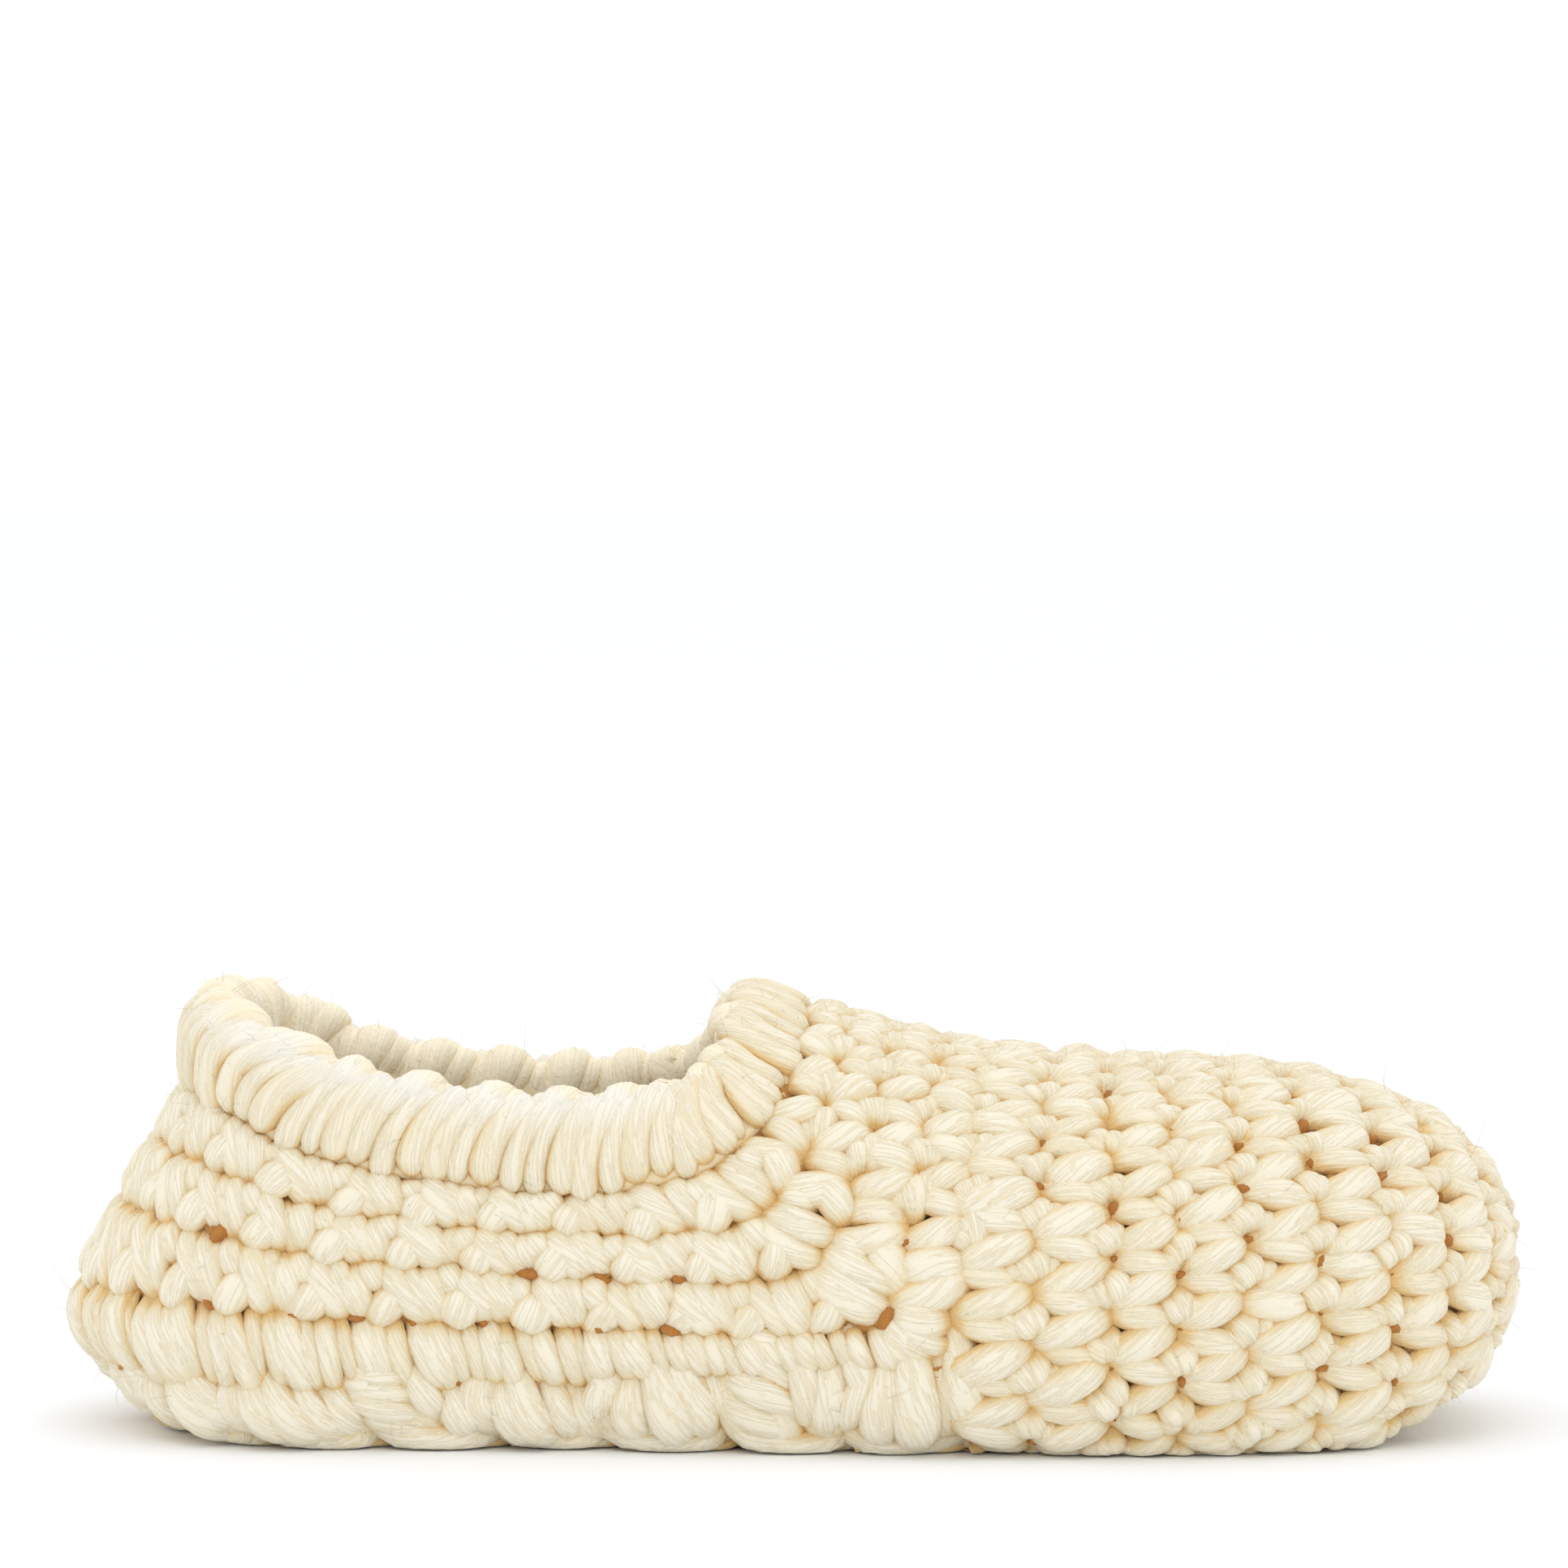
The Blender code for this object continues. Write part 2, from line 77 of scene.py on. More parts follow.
def make_camera():
    """A camera at the photo's angle, with the middle of the shoe at its place in the photo."""
    data = bpy.data.cameras.new("camera")
    data.sensor_width = SENSOR_WIDTH
    data.lens = SENSOR_WIDTH * CAMERA_DISTANCE / FRAME_WIDTH
    camera = add_object("camera", data)
    elevation = math.radians(CAMERA_ELEVATION)
    x, y, z = SHOE_MIDDLE
    back = CAMERA_DISTANCE * math.cos(elevation)
    rise = CAMERA_DISTANCE * math.sin(elevation)
    camera.location = (x * MM, (y - back) * MM, (z + rise) * MM)
    per_pixel = SENSOR_WIDTH / PHOTO_SIZE
    turn_up = math.atan((SHOE_PIXEL_Y - PHOTO_SIZE / 2.0) * per_pixel / data.lens)
    turn_left = math.atan((SHOE_PIXEL_X - PHOTO_SIZE / 2.0) * per_pixel / data.lens)
    camera.rotation_euler = (QUARTER_TURN - elevation + turn_up, 0.0, turn_left)
    bpy.context.scene.camera = camera
    return camera


print("lens", round(make_camera().data.lens, 1))

# %% [markdown]
# ## Floor
#
# The shoe stands in a bright white studio. A curved backdrop could hide where the floor ends, but a very
# wide plane under a white sky looks the same from every side.

# %% Floor
FLOOR_HALF = 12.0
FLOOR_COLOUR = (0.955, 0.972, 1.0, 1.0)
MATT = 1.0


def set_values(node, values):
    """Sets the constants on a node's own sockets."""
    for key, value in values.items():
        node.inputs[key].default_value = value


def plain_material(name, colour):
    """A matt material of one colour."""
    material = bpy.data.materials.new(name)
    material.use_nodes = True
    look = {"Base Color": colour, "Roughness": MATT, "Specular IOR Level": 0.0}
    set_values(material.node_tree.nodes["Principled BSDF"], look)
    return material


def make_floor():
    """A wide matt floor."""
    mesh = bpy.data.meshes.new("floor")
    corners = [(x * FLOOR_HALF, y * FLOOR_HALF, 0.0) for x, y in ((-1, -1), (1, -1), (1, 1), (-1, 1))]
    mesh.from_pydata(corners, [], [(0, 1, 2, 3)])
    mesh.materials.append(plain_material("studio_floor", FLOOR_COLOUR))
    add_object("floor", mesh)


make_floor()
print("floor", 2.0 * FLOOR_HALF, "m wide")

# %% [markdown]
# ## Light
#
# A white surrounding light fills the shadows, and large soft lamps above and in front make the tops of the
# strands almost white. A picture of a studio could light the shoe too, but plain lamps give the same even
# light with nothing to load.

# %% Light
SKY_COLOUR = (1.0, 1.0, 1.0, 1.0)
SKY_STRENGTH = 1.04
# Sizes and distances are in metres, powers in watts, and elevations in degrees.
LAMPS = {
    "top_light": {"size": 1.1, "power": 1.3, "distance": 1.3, "elevation": 90.0},
    "front_light": {"size": 0.9, "power": 1.2, "distance": 1.4, "elevation": 42.0},
}


def make_sky():
    """White light from all round."""
    world = bpy.data.worlds.new("studio")
    world.use_nodes = True
    set_values(world.node_tree.nodes["Background"], {"Color": SKY_COLOUR, "Strength": SKY_STRENGTH})
    bpy.context.scene.world = world


def make_lamp(name, size, power, distance, elevation):
    """A square soft light that points at the shoe."""
    data = bpy.data.lights.new(name, "AREA")
    data.size = size
    data.energy = power
    lamp = add_object(name, data)
    rise = math.radians(elevation)
    lamp.location = (0.0, -distance * math.cos(rise), distance * math.sin(rise))
    lamp.rotation_euler = (QUARTER_TURN - rise, 0.0, 0.0)


make_sky()
for lamp_name, lamp_values in LAMPS.items():
    make_lamp(lamp_name, **lamp_values)
bpy.context.scene.view_settings.view_transform = "Standard"
print("lamps", list(LAMPS))

# %% [markdown]
# ## The last
#
# A last is the foot-shaped form that a shoe is made on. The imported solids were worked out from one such
# form, so the same sizes and functions are written here again, in millimetres. A place on the last has
# two numbers: how far along the shoe it is, which bends round the heel behind its centre, and how far
# round the foot, from -1 under the middle through 0 at the edge of the sole to 1 on top.

# %% Sizes of the last
TOE_X = 125.0
HEEL_X = -125.5
HEEL_CENTRE_X = -85.0
BALL_WIDTH = 94.0
HEEL_WIDTH = 77.0
TOE_HEIGHT = 63.0
TOE_TIP_Z = 28.0
HEEL_BACK_Z = 21.0
WALL = 8.0
SOLE_THICKNESS = 8.5
WIDEN_FROM_X = -60.0
WIDEN_TO_X = 45.0
TOE_PLAN_X = 55.0
TOE_TOP_X = 60.0
TOE_UNDER_X = 85.0
TOE_PLAN_POWER = 2.3
TOE_TOP_POWER = 2.4
TOE_UNDER_POWER = 1.8
TOP_LINE_X = (-85.0, -45.0, -20.0, -5.0, 2.0, 17.0, 31.0, 45.0, 60.0)
TOP_LINE_Z = (95.0, 95.0, 84.0, 76.0, 73.6, 69.3, 65.9, 63.9, 63.0)
CONTACT_SHARE = 0.8
SIDE_HEIGHT_HEEL = 19.0
SIDE_HEIGHT_TOE = 28.0
SIDE_RISE_FROM_X = 20.0
UPPER_POWER_HEEL = 2.0
UPPER_POWER_TOE = 2.2
EDGE_SHARE = 0.63
SECTION_STEPS = 40
HEEL_TOP_REACH = 64.0
HEEL_TOP_POWER = 1.15
HEEL_FLOOR_RADIUS = 18.0
HEEL_LOW_POWER = 1.5
HEEL_SWEEP = 38.0
ARCH_X = 31.0
ARCH_HALF_LENGTH = 16.0
ARCH_RISE = 2.0
PRESSED = 0.8
RIM_ALONG = (-144.7, -120.0, -103.6, -95.7, -87.0, -81.0, -75.5, -62.6, -43.0, -29.0, -16.0)
RIM_HEIGHT = (61.0, 59.6, 57.4, 55.4, 52.4, 50.4, 49.0, 46.4, 44.4, 44.9, 47.7)
THROAT_ALONG = (-16.0, -9.7, -5.4, -2.1, 0.0, 1.2, 2.7, 3.5)
THROAT_RISE = (0.0, 0.11, 0.22, 0.31, 0.45, 0.57, 0.78, 1.0)
ROUND_SIDE_X = (29.0, 40.1, 53.6, 65.2, 76.9, 89.3, 102.0, 112.4, 120.4, 124.0)
ROUND_TOP_X = (37.0, 46.1, 54.2, 62.5, 72.9, 83.7, 94.5, 105.5, 116.0, 123.0)
ROUND_UNDER_X = (29.5, 40.5, 53.0, 65.0, 76.0, 87.0, 98.0, 108.0, 117.0, 123.4)
print("length of the last", TOE_X - HEEL_X, "mm")

# %% [markdown]
# The last is built from small curves. A smooth step blends one size into another, a rounded end closes
# the toe, and a smooth curve runs through the points of a short table. Each is a few lines of plain
# Python, which is easier to steer here than a sculpted mesh, because every stitch can ask it for a place.

# %% Curves


def ease(value):
    """A smooth step from 0 to 1."""
    share = min(max(value, 0.0), 1.0)
    return share * share * (3.0 - 2.0 * share)


def bulge(share, power):
    """Height of a rounded end: 1 where it begins and 0 at its tip."""
    inside = 1.0 - min(max(share, 0.0), 1.0) ** power
    return inside ** (1.0 / power)


def smooth_curve(at, xs, ys):
    """A smooth curve through the points of a short table."""
    xs = np.asarray(xs)
    ys = np.asarray(ys)
    slopes = np.gradient(ys, xs)
    i = int(np.clip(np.searchsorted(xs, at) - 1, 0, len(xs) - 2))
    step = xs[i + 1] - xs[i]
    f = min(max((at - xs[i]) / step, 0.0), 1.0)
    start = (1.0 + 2.0 * f) * (1.0 - f) ** 2 * ys[i] + f * (1.0 - f) ** 2 * step * slopes[i]
    end = f * f * (3.0 - 2.0 * f) * ys[i + 1] + f * f * (f - 1.0) * step * slopes[i + 1]
    return float(start + end)


def unit(vectors):
    """Vectors of length 1 in the same directions."""
    return vectors / np.linalg.norm(vectors, axis=-1, keepdims=True)


def path_lengths(points):
    """How far along a path each of its points is."""
    steps = np.linalg.norm(np.diff(points, axis=0), axis=1)
    return np.concatenate([[0.0], np.cumsum(steps)])


print("the top line meets the toe cup at", smooth_curve(TOE_TOP_X, TOP_LINE_X, TOP_LINE_Z), "mm")

# %% [markdown]
# A section is a cut straight across the foot. Half of it has three stretches: the flat that touches
# the floor, a quarter of an ellipse up to the widest place, and a rounded arch over the top. All its
# sizes change smoothly along the shoe. A mesh could be cut into sections too, but formulas give any
# section at once.

# %% Sections across the last


def half_width(x, inset):
    """Half the width of a section, drawn in by an inset."""
    widened = ease((x - WIDEN_FROM_X) / (WIDEN_TO_X - WIDEN_FROM_X))
    width = (HEEL_WIDTH + (BALL_WIDTH - HEEL_WIDTH) * widened) / 2.0 - inset
    return width * bulge((x - TOE_PLAN_X) / (TOE_X - inset - TOE_PLAN_X), TOE_PLAN_POWER)


def top_height(x, inset):
    """Height of the top line, which bends down at the toe."""
    if x <= TOE_TOP_X:
        return smooth_curve(x, TOP_LINE_X, TOP_LINE_Z) - inset
    rise = TOE_HEIGHT - inset - TOE_TIP_Z
    return TOE_TIP_Z + rise * bulge((x - TOE_TOP_X) / (TOE_X - inset - TOE_TOP_X), TOE_TOP_POWER)


def floor_height(x, inset, lift):
    """Height of the underside, which springs up at the toe."""
    low = lift - PRESSED
    spring = bulge((x - TOE_UNDER_X) / (TOE_X - inset - TOE_UNDER_X), TOE_UNDER_POWER)
    return low + (TOE_TIP_Z - low) * (1.0 - spring)


def side_height(x):
    """Height of the widest place of a section."""
    rise = ease((x - SIDE_RISE_FROM_X) / (TOE_X - SIDE_RISE_FROM_X))
    return SIDE_HEIGHT_HEEL + (SIDE_HEIGHT_TOE - SIDE_HEIGHT_HEEL) * rise


def half_section(x, inset, lift):
    """Half a cross section from the middle of the floor to the middle of the top, and where its edge is."""
    width = half_width(x, inset)
    contact = CONTACT_SHARE * width
    plain_low = floor_height(x, inset, lift)
    low = plain_low + ARCH_RISE * (1.0 - ease(abs(x - ARCH_X) / ARCH_HALF_LENGTH))
    side = max(side_height(x), low)
    top = max(top_height(x, inset), side)
    power = UPPER_POWER_HEEL + (UPPER_POWER_TOE - UPPER_POWER_HEEL) * ease(x / TOE_UNDER_X)
    turn = np.linspace(0.0, QUARTER_TURN, SECTION_STEPS)
    flat_y = np.linspace(0.0, contact, SECTION_STEPS)[:-1]
    low_y = contact + (width - contact) * np.sin(turn)
    low_z = side - (side - low) * np.cos(turn)
    high_y = width * np.maximum(np.cos(turn[1:]), 0.0) ** (2.0 / power)
    high_z = side + (top - side) * np.sin(turn[1:]) ** (2.0 / power)
    ys = np.concatenate([flat_y, low_y, high_y])
    zs = np.concatenate([np.full(len(flat_y), low), low_z, high_z])
    return ys, zs, plain_low + EDGE_SHARE * (side - plain_low)


print("width at the ball", round(2.0 * half_width(WIDEN_TO_X, 0.0)), "mm")

# %% [markdown]
# Stitches need even steps along the skin, so a place round the foot is counted along the outline of its
# section. An angle would be simpler, but its steps would be wide on the flat and narrow at the sides.

# %% Places round a section


def section_lengths(ys, zs, edge):
    """Distances along half a section, and the one where its edge is."""
    lengths = path_lengths(np.stack([ys, zs], axis=1))
    return lengths, float(np.interp(edge, zs[SECTION_STEPS:], lengths[SECTION_STEPS:]))


def section_point(x, around, inset, lift):
    """The y and z of a place round a section."""
    ys, zs, edge = half_section(x, inset, lift)
    lengths, edge_at = section_lengths(ys, zs, edge)
    if around < 0.0:
        at = edge_at * (1.0 + around)
    else:
        at = edge_at + (lengths[-1] - edge_at) * around
    return float(np.interp(at, lengths, ys)), float(np.interp(at, lengths, zs))


def around_at_height(x, height):
    """The place round a section where its side has a height."""
    ys, zs, edge = half_section(x, 0.0, 0.0)
    lengths, edge_at = section_lengths(ys, zs, edge)
    found = float(np.interp(height, zs[SECTION_STEPS:], lengths[SECTION_STEPS:]))
    return (found - edge_at) / (lengths[-1] - edge_at)


print("edge of the sole at the ball", np.round(section_point(WIDEN_TO_X, 0.0, 0.0, 0.0), 1), "mm")

# %% [markdown]
# Behind its centre the heel is rounded like a bowl: the section there is swept to the back, and reaches
# as far as a radius that depends on the height. The inside of the shoe is the same form, drawn in by
# the wall and lifted by the sole. An offset of a mesh would give it too, but here both sides keep the
# same two numbers for a place, and the line between them points out of the wall.

# %% Points of the last


def heel_radius(z, inset):
    """How far the heel reaches back from its centre at a height."""
    widest = HEEL_CENTRE_X - HEEL_X
    if z >= HEEL_BACK_Z:
        share = min((z - HEEL_BACK_Z) / HEEL_TOP_REACH, 1.0)
        return widest * (1.0 - share**HEEL_TOP_POWER) ** (1.0 / HEEL_TOP_POWER) - inset
    share = min((HEEL_BACK_Z - z) / HEEL_BACK_Z, 1.0)
    grown = (1.0 - share**HEEL_LOW_POWER) ** (1.0 / HEEL_LOW_POWER)
    return HEEL_FLOOR_RADIUS + (widest - HEEL_FLOOR_RADIUS) * grown - inset


def last_point(along, around, inset=0.0, lift=0.0):
    """A point of the last, on the side where y is positive."""
    x = max(along, HEEL_CENTRE_X)
    y, z = section_point(x, around, inset, lift)
    if along >= HEEL_CENTRE_X:
        return np.array((x, y, z))
    turn = min((HEEL_CENTRE_X - along) / HEEL_SWEEP, QUARTER_TURN)
    contact = CONTACT_SHARE * half_width(x, inset)
    share = min(y / contact, 1.0) if around < 0.0 else 1.0
    back = heel_radius(z, inset) * share * math.sin(turn)
    return np.array((x - back, y * math.cos(turn), z))


def inner_point(along, around):
    """The point of the inside of the shoe behind a place of the outside."""
    seam = ROUND_SIDE_X[0]
    if along > seam:
        along = seam + (along - seam) * (TOE_X - WALL - seam) / (TOE_X - seam)
    return last_point(along, around, WALL, SOLE_THICKNESS)


def heel_end():
    """The distance along the shoe of the middle of the back."""
    return HEEL_CENTRE_X - HEEL_SWEEP * QUARTER_TURN


def toe_along(count, around):
    """Distance along the shoe of a toe round, counted from the seam, at a place round the foot."""
    rounds = np.arange(len(ROUND_SIDE_X))
    side = float(np.interp(count, rounds, ROUND_SIDE_X))
    end_x = ROUND_TOP_X if around >= 0.0 else ROUND_UNDER_X
    return side + (float(np.interp(count, rounds, end_x)) - side) * around**2


print("back of the heel", last_point(heel_end(), 0.0).round(1))

# %% [markdown]
# ## Rows
#
# Crochet grows in rows. Each border between two rows is kept as a line of points on the last, with the
# direction that points out of the wall, so a stitch can ask for any distance along the line. Stitches
# could also be scattered on the surface, but lines keep them in order, as in the real work.

# %% Rows on the last
ROW_POINTS = 1200
TURN_REACH = 8.0
NEAR_WEIGHT = 0.2
BELL_REACH = 2


def read_line(at, distance, values):
    """Values along a line, read at some distances."""
    return np.stack([np.interp(at, distance, values[:, k]) for k in range(values.shape[1])], axis=-1)


class Row:
    """A line on the last: points, outward directions, and distance along it."""

    def __init__(self, points, outward, closed):
        points = np.asarray(points)
        outward = np.asarray(outward)
        if closed:
            points = np.vstack([points, points[:1]])
            outward = np.vstack([outward, outward[:1]])
        lengths = path_lengths(points)
        self.closed = closed
        self.length = lengths[-1]
        self.distance = np.linspace(0.0, self.length, ROW_POINTS)
        self.points = read_line(self.distance, lengths, points)
        self.outward = read_line(self.distance, lengths, outward)

    def rounded(self, reach):
        """The same closed line with its corners rounded over a distance."""
        width = max(int(reach / self.length * ROW_POINTS), 1)
        offsets = np.arange(-BELL_REACH * width, BELL_REACH * width + 1)
        weights = np.exp(-((offsets / width) ** 2) / 2.0)
        weights /= weights.sum()
        lines = []
        for line in (self.points[:-1], self.outward[:-1]):
            shifted = [weight * np.roll(line, -k, axis=0) for k, weight in zip(offsets, weights)]
            lines.append(sum(shifted))
        return Row(*lines, True)

    def at(self, distance):
        """Points and outward directions at distances along the line."""
        distance = np.asarray(distance)
        if self.closed:
            distance = np.mod(distance, self.length)
        outward = read_line(distance, self.distance, self.outward)
        return read_line(distance, self.distance, self.points), unit(outward)

    def way(self, distance):
        """Direction of the line, evened out so that it turns slowly through a corner."""
        ahead = distance + TURN_REACH
        behind = distance - TURN_REACH
        if not self.closed:
            ahead = np.minimum(ahead, self.length)
            behind = np.maximum(behind, 0.0)
        chord = self.at(ahead)[0] - self.at(behind)[0]
        return unit(chord)

    def across(self, points, ways):
        """Distance along this line of the place straight across from each point of another line."""
        steps = self.points[None, :, :] - points[:, None, :]
        astray = np.abs(np.einsum("ijk,ik->ij", steps, ways))
        gaps = astray + NEAR_WEIGHT * np.linalg.norm(steps, axis=2)
        return self.distance[np.argmin(gaps, axis=1)]


print("points kept on a row", ROW_POINTS)

# %% [markdown]
# The outside and the inside of the wall give a row the same way, with the direction turned round. The shoe
# is the same on both sides, so half of a row is worked out and mirrored. A Mirror modifier could double
# the strands later, but both sides would then have the same disorder.

# %% Places and whole rows
MIRROR = np.array((1.0, -1.0, 1.0))


def wall_place(along, around):
    """A point of the outside and the direction out of the wall there."""
    outer = last_point(along, around)
    through = outer - inner_point(along, around)
    return outer, through / np.linalg.norm(through)


def inner_place(along, around):
    """A point of the inside and the direction from there into the shoe."""
    inner = inner_point(along, around)
    through = inner - last_point(along, around)
    return inner, through / np.linalg.norm(through)


def whole_row(half):
    """A row round the shoe from the points and directions of half of it, near side first."""
    points = np.array([point for point, _ in half])
    outward = np.array([way for _, way in half])
    points = np.vstack([points * MIRROR, points[-2:0:-1]])
    return Row(points, np.vstack([outward * MIRROR, outward[-2:0:-1]]), True)


def closed_row(places, place_of):
    """A row round the shoe through the places of half of it."""
    return whole_row([place_of(*place) for place in places])


print("out of the wall at the back of the heel", wall_place(heel_end(), 0.0)[1].round(2))

# %% [markdown]
# The rounds of the foot opening run from the collar down to the sole and to the toe cup. Lines down the
# wall join both edges, and each round passes through the same share of all these lines. Rounds at fixed
# heights would be simpler, but they would not turn over the instep.

# %% Lines down the wall
HEEL_STATIONS = 24
SIDE_STATIONS = 36
THROAT_STATIONS = 36
WALL_STEPS = 24


def even_steps(start, end, count):
    """Evenly spread values, without the end."""
    return [start + (end - start) * i / count for i in range(count)]


def opening_stations():
    """Both ends of each line from the collar to the sole or toe cup: heel, side, then over the throat."""
    stations = []
    corner = RIM_ALONG[-1]
    seam = toe_along(0.0, 0.0)
    ends = even_steps(heel_end(), HEEL_CENTRE_X, HEEL_STATIONS)
    ends += even_steps(HEEL_CENTRE_X, seam, SIDE_STATIONS)
    for end_along in ends + [seam]:
        rim_along = end_along
        if end_along > HEEL_CENTRE_X:
            share = (end_along - HEEL_CENTRE_X) / (seam - HEEL_CENTRE_X)
            rim_along = HEEL_CENTRE_X + (corner - HEEL_CENTRE_X) * share
        height = smooth_curve(rim_along, RIM_ALONG, RIM_HEIGHT)
        rim_around = around_at_height(max(rim_along, HEEL_CENTRE_X), height)
        stations.append((rim_along, rim_around, end_along, 0.0))
    corner_around = stations[-1][1]
    for k in range(1, THROAT_STATIONS + 1):
        share = k / THROAT_STATIONS
        rim_along = smooth_curve(share, THROAT_RISE, THROAT_ALONG)
        rim_around = corner_around + (1.0 - corner_around) * share
        stations.append((rim_along, rim_around, toe_along(0.0, share), share))
    return stations


def opening_places(station, shares):
    """Places on one line down the wall, at shares of its length."""
    start = np.array(station[:2])
    end = np.array(station[2:])
    steps = np.linspace(0.0, 1.0, WALL_STEPS)
    lengths = path_lengths(np.array([last_point(*(start + (end - start) * f)) for f in steps]))
    at = np.interp(np.asarray(shares) * lengths[-1], lengths, steps)
    return [start + (end - start) * f for f in at]


print("lines down half of the wall", len(opening_stations()))

# %% [markdown]
# Each round has a border line on either side, and a line along its middle. The rounds of the toe cup
# follow the photo: near the seam they lie further forward on top of the foot than at its side. Evenly
# spread rounds would be simpler, but their stitches would not fall where the photo has them.

# %% Borders and middles of the rounds
OPENING_ROUNDS = (0.0, 0.21, 0.44, 0.71, 1.0)
TOE_ROUNDS = len(ROUND_SIDE_X) - 1
RING_STEPS = 60
CORNER_ROUNDING = 3.0


def toe_row(count, place_of):
    """A line round the toe cup, counted in rounds from the seam."""
    places = [(toe_along(count, around), around) for around in np.linspace(-1.0, 1.0, RING_STEPS + 1)]
    return closed_row(places, place_of)


def between(values):
    """A list of values with the middle of each gap put in."""
    full = []
    for first, second in zip(values, values[1:]):
        full += [first, (first + second) / 2.0]
    return full + [values[-1]]


def opening_rows(place_of):
    """Borders and middles of the rounds of the foot opening, on the outside or the inside."""
    shares = between(OPENING_ROUNDS)
    lines = [opening_places(station, shares) for station in opening_stations()]
    rows = [closed_row([line[k] for line in lines], place_of) for k in range(len(shares))]
    return [row.rounded(CORNER_ROUNDING) for row in rows]


def toe_rows(place_of):
    """Borders and middles of the rounds of the toe cup."""
    return [toe_row(count, place_of) for count in between(list(range(TOE_ROUNDS + 1)))]


OPENING_ROWS = opening_rows(wall_place)
TOE_ROWS = toe_rows(wall_place)
print("opening rounds", [round(row.length) for row in OPENING_ROWS[1::2]], "mm")
print("toe rounds", [round(row.length) for row in TOE_ROWS[1::2]], "mm")

# %% [markdown]
# ## Yarn
#
# A strand of this yarn is soft and a little flat, and its plies make shallow grooves. The strands are
# stored as thin paths with a thickness at each point. Geometry Nodes then sweep an oval along every path,
# press the ply grooves into it and remember where each point lies across and along the strand, so that
# the wool's fibres can run with it. A curve with a bevel would give the tubes as well, but not these
# layers. One tree does this for every piece, with its own values.

# %% Paths of yarn
# The wool reads depth for painted shade, darker the deeper a strand lies, and the last layer for the
# painted highlight on the lit top of the roll.
LAYERS = ("thick", "depth", "tone", "painted_highlight")


class Yarn:
    """Collects the paths of the strands of one piece."""

    def __init__(self):
        self.points = []
        self.edges = []
        self.outward = []
        self.thick = []
        self.depth = []
        self.tone = []
        self.painted_highlight = []

    def strand(self, points, outward, thick, depth, tone, painted_highlight=None):
        """Adds a path with its layers. Lengths are given in millimetres."""
        first = len(self.points)
        count = len(points)
        self.points += [tuple(point * MM) for point in points]
        self.edges += [(first + i, first + i + 1) for i in range(count - 1)]
        self.outward += [tuple(way) for way in outward]
        self.thick += [value * MM for value in thick]
        self.depth += [value * MM for value in depth]
        self.tone += [tone] * count
        self.painted_highlight += painted_highlight or [0.0] * count

    def mesh(self, name):
        """The paths as a mesh of edges, with the layers on its points."""
        mesh = bpy.data.meshes.new(name)
        mesh.from_pydata(self.points, self.edges, [])
        outward = mesh.attributes.new("outward", "FLOAT_VECTOR", "POINT")
        outward.data.foreach_set("vector", np.asarray(self.outward, dtype=np.float32).ravel())
        for key in LAYERS:
            layer = mesh.attributes.new(key, "FLOAT", "POINT")
            layer.data.foreach_set("value", np.asarray(getattr(self, key), dtype=np.float32))
        return mesh


print("layers on every path: outward,", ", ".join(LAYERS))

# %% [markdown]
# Geometry Nodes and shaders are both trees of nodes. A tree could be drawn by hand in the node editor,
# but the script would then have to load it from a file. These helpers make a node, give its inputs
# constants or links, and hand back its outputs, so that a tree can be read like a formula.

# %% Small node helpers


def new_node(tree, kind, **settings):
    """A new node with some settings."""
    node = tree.nodes.new(kind)
    for key, value in settings.items():
        setattr(node, key, value)
    return node


def math_node(tree, operation, *values):
    """A math node whose inputs are sockets or numbers."""
    node = new_node(tree, "ShaderNodeMath", operation=operation)
    for socket, value in zip(node.inputs, values):
        if isinstance(value, (int, float)):
            socket.default_value = value
        else:
            tree.links.new(value, socket)
    return node.outputs[0]


def vector_node(tree, operation, *values):
    """A vector math node whose inputs are sockets or tuples."""
    node = new_node(tree, "ShaderNodeVectorMath", operation=operation)
    used = [socket for socket in node.inputs if socket.type == "VECTOR"]
    for socket, value in zip(used, values):
        if isinstance(value, tuple):
            socket.default_value = value
        else:
            tree.links.new(value, socket)
    return node.outputs["Value" if operation == "DOT_PRODUCT" else "Vector"]


def wired(tree, kind, inputs, **settings):
    """A new node whose inputs are sockets or constants. Gives its outputs."""
    node = new_node(tree, kind, **settings)
    for key, value in inputs.items():
        if isinstance(value, bpy.types.NodeSocket):
            tree.links.new(value, node.inputs[key])
        else:
            node.inputs[key].default_value = value
    return node.outputs


def read_layer(tree, key, kind):
    """A socket that reads a layer of the mesh."""
    return wired(tree, "GeometryNodeInputNamedAttribute", {"Name": key}, data_type=kind)["Attribute"]


def keep_layer(tree, geometry, key, kind, value):
    """Geometry that keeps a value as a layer."""
    inputs = {"Geometry": geometry, "Name": key, "Value": value}
    settings = {"data_type": kind, "domain": "POINT"}
    return wired(tree, "GeometryNodeStoreNamedAttribute", inputs, **settings)["Geometry"]


def add_sockets(tree, way, kind, names):
    """Adds inputs or outputs of one kind to a tree."""
    for name in names:
        tree.interface.new_socket(name, in_out=way, socket_type=kind)


HELPERS = (new_node, math_node, vector_node, wired, read_layer, keep_layer, add_sockets)
print("node helpers", [helper.__name__ for helper in HELPERS])

# %% [markdown]
# The tree has four parts: the paths turn into curves that know which way is out of the wall, a flat oval
# is swept along them, grooves are pressed into the tubes, and layers for the wool are left on their
# points. Python could also work out every point of the tubes, but the tree is quicker and shorter.

# %% Tubes along the paths
FULL_TURN = 2.0 * math.pi


